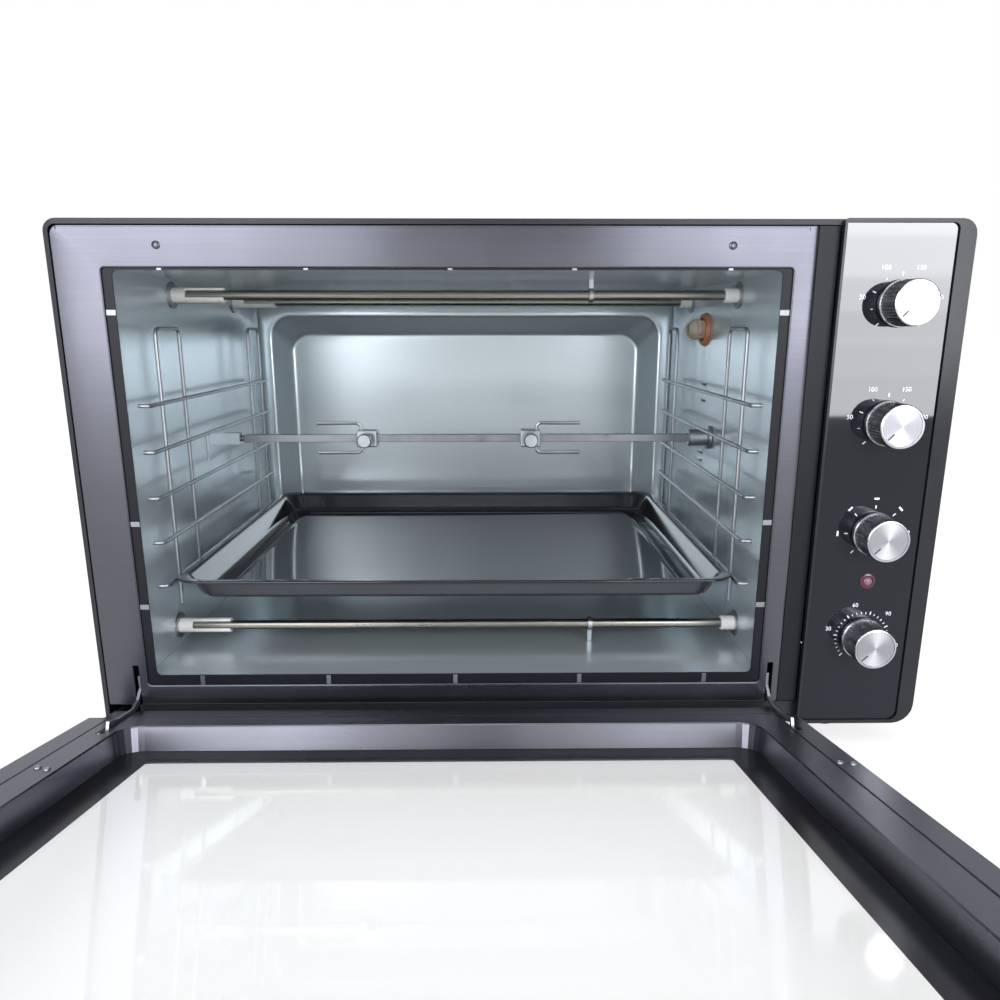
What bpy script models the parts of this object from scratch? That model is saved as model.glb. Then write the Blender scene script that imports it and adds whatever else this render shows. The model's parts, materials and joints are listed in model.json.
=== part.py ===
"""A large countertop rotisserie oven, standing on four feet with its door open.

Units are metres, +Z is up and the oven faces -Y.  Everything hangs from one empty whose
origin is on the cabinet's centre line, at the front face and at the cabinet's bottom.
The door's pieces are laid out as if it were shut, under a pivot that then opens it.
"""
import math

import bmesh
import bpy
from mathutils import Matrix, Vector

MM = 0.001
GAP = 0.3 * MM

# Cabinet
WIDTH = 720 * MM
HEIGHT = 427.5 * MM
DEPTH = 462 * MM
FOOT_HEIGHT = 20 * MM
SHEET = 1.0 * MM
FRONT_Y = -25.65 * MM            # puts the bounding box's middle on Y = 0
TOP_RADIUS = 10 * MM
BOTTOM_RADIUS = 18 * MM
LEFT_BOTTOM_RADIUS = 6 * MM
RIM = 4.4 * MM

# Cooking space, inner faces
CAVITY_LEFT = -318.8 * MM
CAVITY_RIGHT = 222.1 * MM
CAVITY_FLOOR = 46 * MM
CAVITY_TOP = 390.8 * MM
CAVITY_BACK = 390 * MM
CAVITY_MIDDLE = (CAVITY_LEFT + CAVITY_RIGHT) / 2
RECESS_DEPTH = 40 * MM
RECESS_MOUTH = ((-306 * MM, 66 * MM), (208 * MM, 364 * MM))
RECESS_FLOOR = ((-281 * MM, 93 * MM), (180 * MM, 335 * MM))
MOUTH_DROP = 8 * MM              # the front frame's mouth starts this far under the floor
HANGER_X = 78 * MM

# Front frame and control panel
FRAME_LEFT = -355 * MM
FRAME_RIGHT = 239.5 * MM
FRAME_BOTTOM = 19.5 * MM
FRAME_TOP = HEIGHT - RIM - GAP
PANEL_LEFT = 257 * MM
PANEL_RIM = 13.5 * MM
PANEL_FACE = -3 * MM
KNOB_X = 307 * MM
INLET_X = 260 * MM
INLET_Z = 80 * MM
KNOB_HEIGHTS = (364 * MM, 269.5 * MM, 176 * MM, 82 * MM)
KNOB_HEIGHT = 25 * MM
STEM_RADIUS = 3 * MM
KNOB_RADIUS = 18 * MM
KNOB_FOOT = 19 * MM
INDICATOR_Z = 133.4 * MM
INDICATOR_RADIUS = 4 * MM

# Door, laid out shut: its own origin is on the hinge axis
HINGE_Y = -18.3 * MM
HINGE_Z = 4 * MM
DOOR_OPEN = math.radians(78.2)
DOOR_LEFT = -358 * MM
DOOR_RIGHT = 244 * MM
DOOR_MIDDLE = (DOOR_LEFT + DOOR_RIGHT) / 2
DOOR_BOTTOM = -5 * MM
DOOR_TOP = 420 * MM
DOOR_INNER = 16.3 * MM
DOOR_OUTER = -9.7 * MM
DOOR_FLANGE = 40 * MM
GLASS_INNER = -3.7 * MM
GLASS_THICKNESS = 4 * MM
HANDLE_REACH = 40 * MM
HANDLE_Z = 386 * MM
HANDLE_RADIUS = 8.5 * MM
HANDLE_LENGTH = 430 * MM
POST_SPACING = 370 * MM
PIN_RADIUS = 3 * MM
LINK_X = (-328 * MM, 231 * MM)
LINK_PIVOT = (11 * MM, 40 * MM)

# Spit
SPIT_Y = 195 * MM
SPIT_Z = 229.7 * MM
SPIT_SIDE = 8 * MM
SPIT_LEFT = -298 * MM
SPIT_RIGHT = 216 * MM
FORK_X = (-149.5 * MM, 26.5 * MM)

# Inside fittings
HEATER_Y = (130 * MM, 300 * MM)
LOWER_HEATER_Y = (75 * MM, 300 * MM)
UPPER_HEATER_Z = 376 * MM
LOWER_HEATER_Z = 64 * MM
HEATER_RADIUS = 4.5 * MM
CAP_RADIUS = 7 * MM
RACK_RUNG_OFFSET = 20 * MM
RACK_UPRIGHT_OFFSET = 17.6 * MM
RACK_LEVELS = (124.9 * MM, 164 * MM, 203.2 * MM, 243 * MM, 282 * MM)
RACK_UPRIGHTS = (46 * MM, 95 * MM, 290 * MM, 330 * MM)
WIRE = 1.7 * MM
TRAY_HALF_WIDTH = 250.6 * MM
TRAY_FRONT = 14 * MM
TRAY_BACK = 386 * MM
TRAY_RIM_Z = 127.7 * MM
TRAY_DEPTH = 20 * MM
LAMP_Y = 235 * MM
LAMP_Z = 344 * MM


# ---------------------------------------------------------------- scene and materials

for old in list(bpy.data.objects):
    bpy.data.objects.remove(old, do_unlink=True)

parts = bpy.data.collections.new("rotisserie_oven")
cutters = bpy.data.collections.new("cutters")
bpy.context.scene.collection.children.link(parts)
bpy.context.scene.collection.children.link(cutters)


def material(name, colour, roughness, metallic=0.0):
    made = bpy.data.materials.new(name)
    made.use_nodes = True
    shader = made.node_tree.nodes["Principled BSDF"]
    shader.inputs["Base Color"].default_value = (*colour, 1)
    shader.inputs["Roughness"].default_value = roughness
    shader.inputs["Metallic"].default_value = metallic
    return made


COLOURS = {
    "black_enamel": ((0.02, 0.022, 0.025), 0.4, 0.0),
    "gunmetal": ((0.16, 0.165, 0.185), 0.35, 1.0),
    "cavity_grey": ((0.42, 0.48, 0.51), 0.35, 0.6),
    "galvanised": ((0.55, 0.57, 0.58), 0.45, 1.0),
    "gloss_black": ((0.01, 0.01, 0.012), 0.08, 0.0),
    "chrome": ((0.75, 0.76, 0.77), 0.15, 1.0),
    "spun_steel": ((0.7, 0.7, 0.71), 0.25, 1.0),
    "heater_steel": ((0.3, 0.3, 0.29), 0.4, 1.0),
    "ceramic": ((0.75, 0.75, 0.72), 0.4, 0.0),
    "tray_enamel": ((0.02, 0.02, 0.022), 0.15, 0.0),
    "rubber": ((0.02, 0.02, 0.02), 0.8, 0.0),
    "plastic": ((0.03, 0.03, 0.035), 0.5, 0.0),
    "door_glass": ((0.05, 0.05, 0.055), 0.05, 0.0),
    "bulb_glass": ((0.85, 0.7, 0.55), 0.1, 0.0),
    "red_lens": ((0.45, 0.03, 0.04), 0.2, 0.0),
}


def empty(name, location, parent=None):
    made = bpy.data.objects.new(name, None)
    made.location = location
    made.parent = parent
    parts.objects.link(made)
    return made


oven = empty("oven", (0, FRONT_Y, FOOT_HEIGHT))
door = empty("door_pivot", (0, HINGE_Y, HINGE_Z), oven)
door.rotation_euler.x = DOOR_OPEN


def finish_part(made, finish, parent=oven, smooth=True):
    """Give a part its own material, its parent and smooth round faces."""
    colour, roughness, metallic = COLOURS[finish]
    made.data.materials.clear()
    made.data.materials.append(material(made.name, colour, roughness, metallic))
    made.parent = parent
    if smooth and made.type == "MESH":
        made.data.shade_smooth()
        made.data.set_sharp_from_angle(angle=math.radians(35))
    return made


def as_cutter(made, parent=oven):
    made.parent = parent
    made.hide_render = True
    made.display_type = "WIRE"
    for collection in list(made.users_collection):
        collection.objects.unlink(made)
    cutters.objects.link(made)
    return made


# ---------------------------------------------------------------- shape helpers

def mesh_object(name, build):
    """A mesh object whose shape the build function makes in a bmesh."""
    data = bpy.data.meshes.new(name)
    bm = bmesh.new()
    build(bm)
    bm.to_mesh(data)
    bm.free()
    made = bpy.data.objects.new(name, data)
    parts.objects.link(made)
    return made


def box(name, low, high, bevel=0.0):
    low, high = Vector(low), Vector(high)

    def build(bm):
        bmesh.ops.create_cube(bm, size=1)
        bmesh.ops.scale(bm, vec=high - low, verts=bm.verts)

    made = mesh_object(name, build)
    made.location = (low + high) / 2
    if bevel:
        add_bevel(made, bevel)
    return made


AXIS_TURNS = {
    "X": Matrix.Rotation(math.radians(90), 4, "Y"),
    "Y": Matrix.Rotation(math.radians(-90), 4, "X"),
    "Z": Matrix.Identity(4),
}


def cylinder(name, radius, start, length, axis, segments=24):
    """A cylinder from a start point along a positive axis."""

    def build(bm):
        bmesh.ops.create_cone(bm, cap_ends=True, segments=segments,
                              radius1=radius, radius2=radius, depth=length)
        bmesh.ops.translate(bm, vec=(0, 0, length / 2), verts=bm.verts)
        bmesh.ops.transform(bm, matrix=AXIS_TURNS[axis], verts=bm.verts)

    made = mesh_object(name, build)
    made.location = start
    return made


def add_bevel(made, width, segments=2, angle=40):
    bevel = made.modifiers.new("rounded_edges", "BEVEL")
    bevel.width = width
    bevel.segments = segments
    bevel.limit_method = "ANGLE"
    bevel.angle_limit = math.radians(angle)
    bevel.use_clamp_overlap = True
    return bevel


def turned(name, profile, steps=32, ring=False):
    """Turn an (x, z) profile about Z: it runs down the outer side, from top to bottom.

    A ring's profile closes on itself and stays off the axis."""

    def build(bm):
        verts = [bm.verts.new((x, 0, z)) for x, z in profile]
        for a, b in zip(verts, verts[1:] + (verts[:1] if ring else [])):
            bm.edges.new((a, b))

    made = mesh_object(name, build)
    screw = made.modifiers.new("turn", "SCREW")
    screw.steps = steps
    screw.render_steps = steps
    screw.use_merge_vertices = True
    screw.merge_threshold = 0.00005
    screw.use_smooth_shade = False
    return made


def rounded_outline(low, high, radii, segments=5):
    """Points of a rounded rectangle, anticlockwise from its lower left corner."""
    if not isinstance(radii, (tuple, list)):
        radii = (radii,) * 4
    (u0, v0), (u1, v1) = low, high
    corners = ((u0, v0, 1, 1, 180), (u1, v0, -1, 1, 270), (u1, v1, -1, -1, 0), (u0, v1, 1, -1, 90))
    points = []
    for (u, v, du, dv, first), radius in zip(corners, radii):
        for step in range(segments + 1):
            angle = math.radians(first + 90 * step / segments)
            points.append((u + du * radius + radius * math.cos(angle),
                           v + dv * radius + radius * math.sin(angle)))
    return points


def grow(rect, amount):
    """A (low, high) rectangle made larger by an amount on every side."""
    (u0, v0), (u1, v1) = rect
    return (u0 - amount, v0 - amount), (u1 + amount, v1 + amount)


def pressed_sheet(name, rings, thickness, facing=-1, plane="front", capped=False, segments=5):
    """A formed sheet: rounded rectangles from the outside in, each (rect, radius, depth).

    The visible side faces the viewer, and the thickness goes behind it."""

    def build(bm):
        rows = []
        for rect, radius, depth in rings:
            points = rounded_outline(*rect, radius, segments)
            if facing > 0:
                points.reverse()
            if plane == "front":
                rows.append([bm.verts.new((u, depth, v)) for u, v in points])
            else:
                rows.append([bm.verts.new((u, v, depth)) for u, v in points])
        count = len(rows[0])
        for outer, inner in zip(rows, rows[1:]):
            for i in range(count):
                j = (i + 1) % count
                bm.faces.new((outer[i], outer[j], inner[j], inner[i]))
        if capped:
            bm.faces.new(rows[-1])

    made = mesh_object(name, build)
    solid = made.modifiers.new("sheet", "SOLIDIFY")
    solid.thickness = thickness
    solid.offset = -1
    solid.use_even_offset = True
    return made


def flat_plate(name, outlines, thickness, bevel=0.0):
    """A plate in the XZ plane, cut from outlines of (x, z): the first is the edge, the rest are holes."""
    curve = bpy.data.curves.new(name, "CURVE")
    curve.dimensions = "2D"
    curve.fill_mode = "BOTH"
    curve.extrude = thickness / 2
    for outline in outlines:
        spline = curve.splines.new("POLY")
        spline.points.add(len(outline) - 1)
        for point, (u, v) in zip(spline.points, outline):
            point.co = (u, v, 0, 1)
        spline.use_cyclic_u = True
    drawn = bpy.data.objects.new(name, curve)
    parts.objects.link(drawn)
    made = curve_to_mesh(drawn)
    made.data.transform(Matrix.Rotation(math.radians(90), 4, "X"))
    if bevel:
        add_bevel(made, bevel)
    return made


def curve_to_mesh(drawn):
    """Turn a curve object into a closed mesh object with the same name and place."""
    bpy.context.view_layer.update()
    evaluated = drawn.evaluated_get(bpy.context.evaluated_depsgraph_get())
    data = bpy.data.meshes.new_from_object(evaluated)
    bm = bmesh.new()
    bm.from_mesh(data)
    bmesh.ops.remove_doubles(bm, verts=bm.verts, dist=0.00001)
    bmesh.ops.recalc_face_normals(bm, faces=bm.faces)
    bm.to_mesh(data)
    bm.free()
    name = drawn.name
    matrix = drawn.matrix_world.copy()
    bpy.data.objects.remove(drawn, do_unlink=True)
    data.name = name
    made = bpy.data.objects.new(name, data)
    made.matrix_world = matrix
    parts.objects.link(made)
    return made


def wire(name, points, radius, resolution=2):
    """A round wire through points, as a closed mesh."""
    curve = bpy.data.curves.new(name, "CURVE")
    curve.dimensions = "3D"
    curve.bevel_depth = radius
    curve.bevel_resolution = resolution
    curve.use_fill_caps = True
    spline = curve.splines.new("POLY")
    spline.points.add(len(points) - 1)
    for point, co in zip(spline.points, points):
        point.co = (*co, 1)
    drawn = bpy.data.objects.new(name, curve)
    parts.objects.link(drawn)
    return curve_to_mesh(drawn)


def combine(target, other, operation, parent=oven):
    """Cut another object out of a target, or join it on, with the other kept as a hidden tool."""
    as_cutter(other, parent)
    step = target.modifiers.new(other.name, "BOOLEAN")
    step.operation = operation
    step.object = other
    step.solver = "EXACT"
    return target


def cut(target, other, parent=oven):
    return combine(target, other, "DIFFERENCE", parent)


def join(target, other, parent=oven):
    return combine(target, other, "UNION", parent)


# ---------------------------------------------------------------- cabinet

def cabinet_outline(inset):
    """The cabinet's section in XZ, from the left bottom return over the top to the right one."""
    half = WIDTH / 2 - inset
    corners = ((-half, inset, LEFT_BOTTOM_RADIUS, 270), (-half, HEIGHT - inset, TOP_RADIUS, 180),
               (half, HEIGHT - inset, TOP_RADIUS, 90), (half, inset, BOTTOM_RADIUS, 0))
    lip = BOTTOM_RADIUS + 8 * MM
    points = [(-half + lip - inset, inset)]
    for x, z, full_radius, first in corners:
        radius = full_radius - inset
        cx = x + math.copysign(radius, -x)
        cz = z + (radius if z < HEIGHT / 2 else -radius)
        for step in range(6):
            angle = math.radians(first - 90 * step / 5)
            points.append((cx + radius * math.cos(angle), cz + radius * math.sin(angle)))
    points.append((half - lip + inset, inset))
    return points


def outer_shell():
    """The painted wrap: both sides and the top, with a narrow rim turned in at the front."""
    rows = ((0, DEPTH), (0, 1.5 * MM), (0.5 * MM, 0.5 * MM), (RIM, 0))

    def build(bm):
        lines = [[bm.verts.new((x, y, z)) for x, z in cabinet_outline(inset)] for inset, y in rows]
        for back, front in zip(lines, lines[1:]):
            for i in range(len(back) - 1):
                bm.faces.new((back[i], back[i + 1], front[i + 1], front[i]))

    made = mesh_object("outer_shell", build)
    solid = made.modifiers.new("sheet", "SOLIDIFY")
    solid.thickness = SHEET
    solid.offset = 1
    solid.use_even_offset = True
    for row in range(3):
        for column in range(5):
            y = DEPTH * (0.3 + 0.1 * column)
            z = HEIGHT * 0.62 + row * 34 * MM
            slot = box(f"side_vent_{row}_{column}", (WIDTH / 2 - 5 * MM, y, z),
                       (WIDTH / 2 + 5 * MM, y + 34 * MM, z + 5 * MM))
            cut(made, slot)
    finish_part(made, "black_enamel")


def base_plate():
    """The floor of the cabinet, turned up at its front, with slots that let cool air in."""
    side = WIDTH / 2 - 28 * MM
    made = box("base_plate", (-side, 4 * MM, 0), (side, DEPTH - 6 * MM, 1.2 * MM))
    lip_x = WIDTH / 2 - 30 * MM
    join(made, box("base_lip", (-lip_x, 4 * MM, 0.2 * MM), (lip_x, 5.2 * MM, FRAME_BOTTOM - 2 * MM)))
    cut(made, box("bracket_notch", (234 * MM, 0, 1.4 * MM), (242 * MM, 10 * MM, 12 * MM)))
    for row in range(3):
        for column in range(6):
            x = -250 * MM + column * 90 * MM
            y = 120 * MM + row * 100 * MM
            cut(made, box(f"base_vent_{row}_{column}", (x, y, -5 * MM), (x + 50 * MM, y + 6 * MM, 5 * MM)))
    finish_part(made, "galvanised")


def feet():
    """Four moulded feet: a wide pad on a narrower collar."""
    height = FOOT_HEIGHT - GAP
    profile = ((0, 0), (17 * MM, 0), (17 * MM, -5 * MM), (15 * MM, -height + 2 * MM),
               (13 * MM, -height), (0, -height))
    for side, x in (("left", -1), ("right", 1)):
        for end, y in (("front", 42 * MM), ("rear", DEPTH - 48 * MM)):
            made = turned(f"foot_{end}_{side}", profile, 28)
            made.location = (x * 300 * MM, y, -GAP)
            finish_part(made, "rubber")


def front_frame():
    """The brushed face plate round the mouth, notched for the two door links."""
    edge = rounded_outline((FRAME_LEFT, FRAME_BOTTOM), (FRAME_RIGHT, FRAME_TOP), (MM, MM, MM, 7 * MM), 4)
    mouth = rounded_outline((CAVITY_LEFT, CAVITY_FLOOR - MOUTH_DROP), (CAVITY_RIGHT, CAVITY_TOP), 3 * MM, 4)
    made = flat_plate("front_frame", (edge, mouth), 1.2 * MM)
    made.location.y = 0.9 * MM
    for index, x in enumerate(LINK_X):
        low, high = (x - 2.6 * MM, -5 * MM, 15 * MM), (x + 2.6 * MM, 5 * MM, 57 * MM)
        cut(made, box(f"link_slot_{index}", low, high))
    finish_part(made, "gunmetal")


def cavity_collar():
    """The dark flange that closes the joint between the walls and the front frame."""
    outer = rounded_outline((CAVITY_LEFT - 3 * MM, CAVITY_FLOOR - MOUTH_DROP - 4 * MM),
                            (CAVITY_RIGHT + 3 * MM, CAVITY_TOP + 3 * MM), 3 * MM, 4)
    inner = rounded_outline((CAVITY_LEFT + 7.6 * MM, CAVITY_FLOOR + 0.6 * MM),
                            (CAVITY_RIGHT - 7.6 * MM, CAVITY_TOP - 1.5 * MM), 4 * MM, 4)
    made = flat_plate("cavity_collar", (outer, inner), 1.2 * MM)
    made.location.y = 2.6 * MM
    finish_part(made, "black_enamel")


def trim_strip():
    """The dark channel between the mouth's frame and the control panel."""
    made = box("trim_strip", (FRAME_RIGHT + GAP, 1.2 * MM, FRAME_BOTTOM),
               (PANEL_LEFT - GAP, 6 * MM, FRAME_TOP), 0.5 * MM)
    finish_part(made, "black_enamel")


def control_outline(inset):
    """The control panel's outline, with the cabinet's rounded corners on its right."""
    low = (PANEL_LEFT + inset, inset)
    high = (WIDTH / 2 - inset, HEIGHT - inset)
    return rounded_outline(low, high, (max(3 * MM - inset, MM), BOTTOM_RADIUS - inset, 12 * MM - inset,
                                       max(3 * MM - inset, MM)), 5)


def control_bezel():
    """The moulded surround that carries the control panel in front of the cabinet."""
    window = rounded_outline((PANEL_LEFT + 2 * MM, 3 * MM), (WIDTH / 2 - PANEL_RIM, HEIGHT - 3 * MM),
                             (MM, 8 * MM, 5 * MM, MM), 5)
    thickness = 4.5 * MM
    made = flat_plate("control_bezel", (control_outline(0), window), thickness)
    made.location.y = -GAP - thickness / 2
    finish_part(made, "gloss_black")


def control_panel():
    """The glossy fascia plate with a hole for each knob's stem and one for the lamp."""
    edge = rounded_outline((PANEL_LEFT + 2 * MM + GAP, 3 * MM + GAP),
                           (WIDTH / 2 - PANEL_RIM - GAP, HEIGHT - 3 * MM - GAP), (MM, 8 * MM, 5 * MM, MM), 5)
    thickness = 2.4 * MM
    made = flat_plate("control_panel", (edge,), thickness)
    made.location.y = PANEL_FACE + thickness / 2
    for index, z in enumerate(KNOB_HEIGHTS):
        cut(made, cylinder(f"stem_hole_{index}", STEM_RADIUS + MM, (KNOB_X, -20 * MM, z), 40 * MM, "Y"))
    lens_place = (KNOB_X, -20 * MM, INDICATOR_Z)
    cut(made, cylinder("lens_hole", INDICATOR_RADIUS + GAP, lens_place, 40 * MM, "Y"))
    finish_part(made, "gloss_black")


def indicator_lens():
    """The round red lens of the power light."""
    profile = ((0, 2.2 * MM), (2.2 * MM, 1.9 * MM), (3.6 * MM, 0.9 * MM), (INDICATOR_RADIUS, 0),
               (INDICATOR_RADIUS, -8 * MM), (0, -8 * MM))
    made = turned("indicator_lens", profile, 20)
    made.location = (KNOB_X, PANEL_FACE - 0.2 * MM, INDICATOR_Z)
    made.rotation_euler.x = math.radians(90)
    finish_part(made, "red_lens")


# ---------------------------------------------------------------- controls

CONTROL_NAMES = ("upper_thermostat", "lower_thermostat", "function_switch", "timer")
CONTROL_SIZES = ((36, 22, 32), (36, 22, 32), (38, 26, 38), (48, 34, 44))


def knob(name, z):
    """A metal control knob with a small foot, a dished face, a pointer and its own stem."""
    radius = KNOB_RADIUS
    profile = ((0, KNOB_HEIGHT - 1.2 * MM), (radius * 0.55, KNOB_HEIGHT - 0.7 * MM),
               (radius - 2 * MM, KNOB_HEIGHT), (radius, KNOB_HEIGHT - 2 * MM), (radius, 7 * MM),
               (KNOB_FOOT, 4 * MM), (KNOB_FOOT, 0), (STEM_RADIUS, 0), (STEM_RADIUS, -30 * MM), (0, -30 * MM))
    made = turned(name, profile, 40)
    made.location = (KNOB_X, PANEL_FACE - 0.8 * MM, z)
    made.rotation_euler.x = math.radians(90)
    bar = box(f"{name}_mark", (-0.9 * MM, radius * 0.35, KNOB_HEIGHT - 4 * MM),
              (0.9 * MM, radius - 1.5 * MM, KNOB_HEIGHT + 0.8 * MM))
    join(made, bar, made)
    finish_part(made, "spun_steel")


def control_body(name, z, size):
    """A boxed switch behind the panel, with a bushing bored for the knob's stem."""
    width, depth, height = (value * MM for value in size)
    front = 8 * MM
    low = (KNOB_X - width / 2, front, z - height / 2)
    high = (KNOB_X + width / 2, front + depth, z + height / 2)
    made = box(name, low, high, MM)
    join(made, cylinder(f"{name}_bushing", 5.5 * MM, (KNOB_X, 1 * MM, z), 10 * MM, "Y"))
    cut(made, cylinder(f"{name}_bore", STEM_RADIUS + 0.4 * MM, (KNOB_X, -5 * MM, z), 33 * MM, "Y"))
    finish_part(made, "plastic")


# ---------------------------------------------------------------- cooking space

def wall_holes(made, x):
    """Holes for the four heating tubes in one side wall."""
    places = [(y, UPPER_HEATER_Z) for y in HEATER_Y] + [(y, LOWER_HEATER_Z) for y in LOWER_HEATER_Y]
    for index, (y, z) in enumerate(places):
        start = (x - 10 * MM, y, z)
        cut(made, cylinder(f"{made.name}_hole_{index}", CAP_RADIUS + 0.4 * MM, start, 20 * MM, "X", 16))


def cavity_walls():
    """The floor, the ceiling and the two side walls of the cooking space."""
    front = 3.6 * MM
    back = CAVITY_BACK - GAP
    low_z, high_z = CAVITY_FLOOR - SHEET, CAVITY_TOP + SHEET
    left = box("cavity_left_wall", (CAVITY_LEFT - SHEET, front, low_z), (CAVITY_LEFT, back, high_z))
    wall_holes(left, CAVITY_LEFT)
    finish_part(left, "cavity_grey")
    right = box("cavity_right_wall", (CAVITY_RIGHT, front, low_z), (CAVITY_RIGHT + SHEET, back, high_z))
    wall_holes(right, CAVITY_RIGHT)
    cut(right, cylinder("socket_hole", 7 * MM, (CAVITY_RIGHT - 10 * MM, SPIT_Y, SPIT_Z), 20 * MM, "X"))
    cut(right, cylinder("lamp_opening", 16 * MM, (CAVITY_RIGHT - 10 * MM, LAMP_Y, LAMP_Z), 20 * MM, "X"))
    finish_part(right, "cavity_grey")
    low_x, high_x = CAVITY_LEFT + GAP, CAVITY_RIGHT - GAP
    finish_part(box("cavity_floor", (low_x, front, low_z), (high_x, back, CAVITY_FLOOR)), "cavity_grey")
    finish_part(box("cavity_ceiling", (low_x, front, CAVITY_TOP), (high_x, back, high_z)), "cavity_grey")


def cavity_back():
    """The pressed back wall, with a wide shallow recess that has sloping sides."""
    edge = ((CAVITY_LEFT - 6 * MM, CAVITY_FLOOR - 6 * MM), (CAVITY_RIGHT + 6 * MM, CAVITY_TOP + 6 * MM))
    depth = CAVITY_BACK + RECESS_DEPTH
    rings = ((edge, 3 * MM, CAVITY_BACK), (RECESS_MOUTH, 30 * MM, CAVITY_BACK),
             (grow(RECESS_MOUTH, -2.5 * MM), 28 * MM, CAVITY_BACK + 2.5 * MM),
             (grow(RECESS_FLOOR, 3 * MM), 22 * MM, depth - 3 * MM), (RECESS_FLOOR, 20 * MM, depth))
    made = pressed_sheet("cavity_back", rings, SHEET, capped=True)
    finish_part(made, "cavity_grey")


def heaters():
    """Two heating tubes under the ceiling and two over the floor."""
    start = CAVITY_LEFT - 16 * MM
    length = CAVITY_RIGHT + 16 * MM - start
    for level, z, places in (("upper", UPPER_HEATER_Z, HEATER_Y), ("lower", LOWER_HEATER_Z, LOWER_HEATER_Y)):
        for end, y in zip(("front", "rear"), places):
            made = cylinder(f"heater_{level}_{end}", HEATER_RADIUS, (start, y, z), length, "X", 20)
            finish_part(made, "heater_steel")
        cap_length = 58 * MM
        bore = HEATER_RADIUS + GAP
        profile = ((bore, cap_length), (CAP_RADIUS - MM, cap_length), (CAP_RADIUS, cap_length - MM),
                   (CAP_RADIUS, 0), (bore, 0))
        cap = turned(f"heater_cap_{level}", profile, 20, ring=True)
        cap.location = (CAVITY_LEFT - 8 * MM, places[0], z)
        cap.rotation_euler.y = math.radians(90)
        finish_part(cap, "ceramic")


def heater_hangers():
    """A ring on a stem that holds each front tube in its middle stretch."""
    ring_radius = HEATER_RADIUS + 2.2 * MM
    places = (("upper", HEATER_Y[0], UPPER_HEATER_Z, CAVITY_TOP - GAP, 1),
              ("lower", LOWER_HEATER_Y[0], LOWER_HEATER_Z, CAVITY_FLOOR + GAP, -1))
    for level, y, z, end, side in places:
        x = HANGER_X
        made = cylinder(f"heater_hanger_{level}", ring_radius, (x, y, z), 4 * MM, "X", 20)
        near = z + side * (ring_radius - MM)
        low = (x, y - 2 * MM, min(near, end))
        high = (x + 4 * MM, y + 2 * MM, max(near, end))
        join(made, box(f"hanger_stem_{level}", low, high))
        start = (x - 5 * MM, y, z)
        cut(made, cylinder(f"hanger_bore_{level}", HEATER_RADIUS + 0.5 * MM, start, 20 * MM, "X", 20))
        finish_part(made, "chrome")


def side_rack(name, side):
    """A wire ladder on one side wall: two hooped uprights and five rungs that carry the tray."""
    wall = CAVITY_LEFT if side < 0 else CAVITY_RIGHT
    upright_x = wall - side * RACK_UPRIGHT_OFFSET
    rung_x = wall - side * RACK_RUNG_OFFSET
    end_x = wall - side * (RACK_RUNG_OFFSET - 9 * MM)
    foot, top = 98 * MM, 345 * MM
    hoops = [RACK_UPRIGHTS[:2], RACK_UPRIGHTS[2:]]
    made = None
    for index, (near, far) in enumerate(hoops):
        path = ((upright_x, near, foot), (upright_x, near, top - 6 * MM), (upright_x, near + 6 * MM, top),
                (upright_x, far - 6 * MM, top), (upright_x, far, top - 6 * MM), (upright_x, far, foot))
        hoop = wire(name if made is None else f"{name}_hoop_{index}", path, WIRE)
        made = hoop if made is None else join(made, hoop)
    for index, z in enumerate(RACK_LEVELS):
        front, back = 16 * MM, 346 * MM
        path = ((end_x, front, z), (rung_x, front, z), (rung_x, back, z), (end_x, back, z))
        join(made, wire(f"{name}_rung_{index}", path, WIRE))
    finish_part(made, "chrome")


def baking_tray():
    """The enamelled tray: a turned-down rim, sloping walls and a flat bottom."""
    rim = ((CAVITY_MIDDLE - TRAY_HALF_WIDTH, TRAY_FRONT), (CAVITY_MIDDLE + TRAY_HALF_WIDTH, TRAY_BACK))
    z = TRAY_RIM_Z
    rings = ((rim, 22 * MM, z), (grow(rim, -1 * MM), 21 * MM, z + 1.3 * MM),
             (grow(rim, -9 * MM), 16 * MM, z + 1.3 * MM),
             (grow(rim, -11 * MM), 15 * MM, z - 0.7 * MM),
             (grow(rim, -20 * MM), 14 * MM, z - TRAY_DEPTH + 3 * MM),
             (grow(rim, -24 * MM), 12 * MM, z - TRAY_DEPTH))
    made = pressed_sheet("baking_tray", rings, 0.8 * MM, plane="top", capped=True)
    finish_part(made, "tray_enamel")


def lamp():
    """The oven light: a holder in the right wall and its glass bulb."""
    holder_profile = ((0, -22 * MM), (11 * MM, -22 * MM), (11 * MM, 0), (15 * MM, 0), (15 * MM, -24 * MM),
                      (10 * MM, -30 * MM), (0, -30 * MM))
    holder = turned("lamp_holder", holder_profile, 28)
    bulb_profile = ((0, 22 * MM), (5 * MM, 21 * MM), (9.5 * MM, 17 * MM), (11.5 * MM, 11 * MM),
                    (10 * MM, 4 * MM), (7.5 * MM, -2 * MM), (7 * MM, -20 * MM), (0, -20 * MM))
    bulb = turned("lamp_bulb", bulb_profile, 28)
    places = ((holder, CAVITY_RIGHT + 1.5 * MM, "ceramic"), (bulb, CAVITY_RIGHT, "bulb_glass"))
    for made, x, finish in places:
        made.location = (x, LAMP_Y, LAMP_Z)
        made.rotation_euler.y = math.radians(-90)
        finish_part(made, finish)


# ---------------------------------------------------------------- spit

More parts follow.
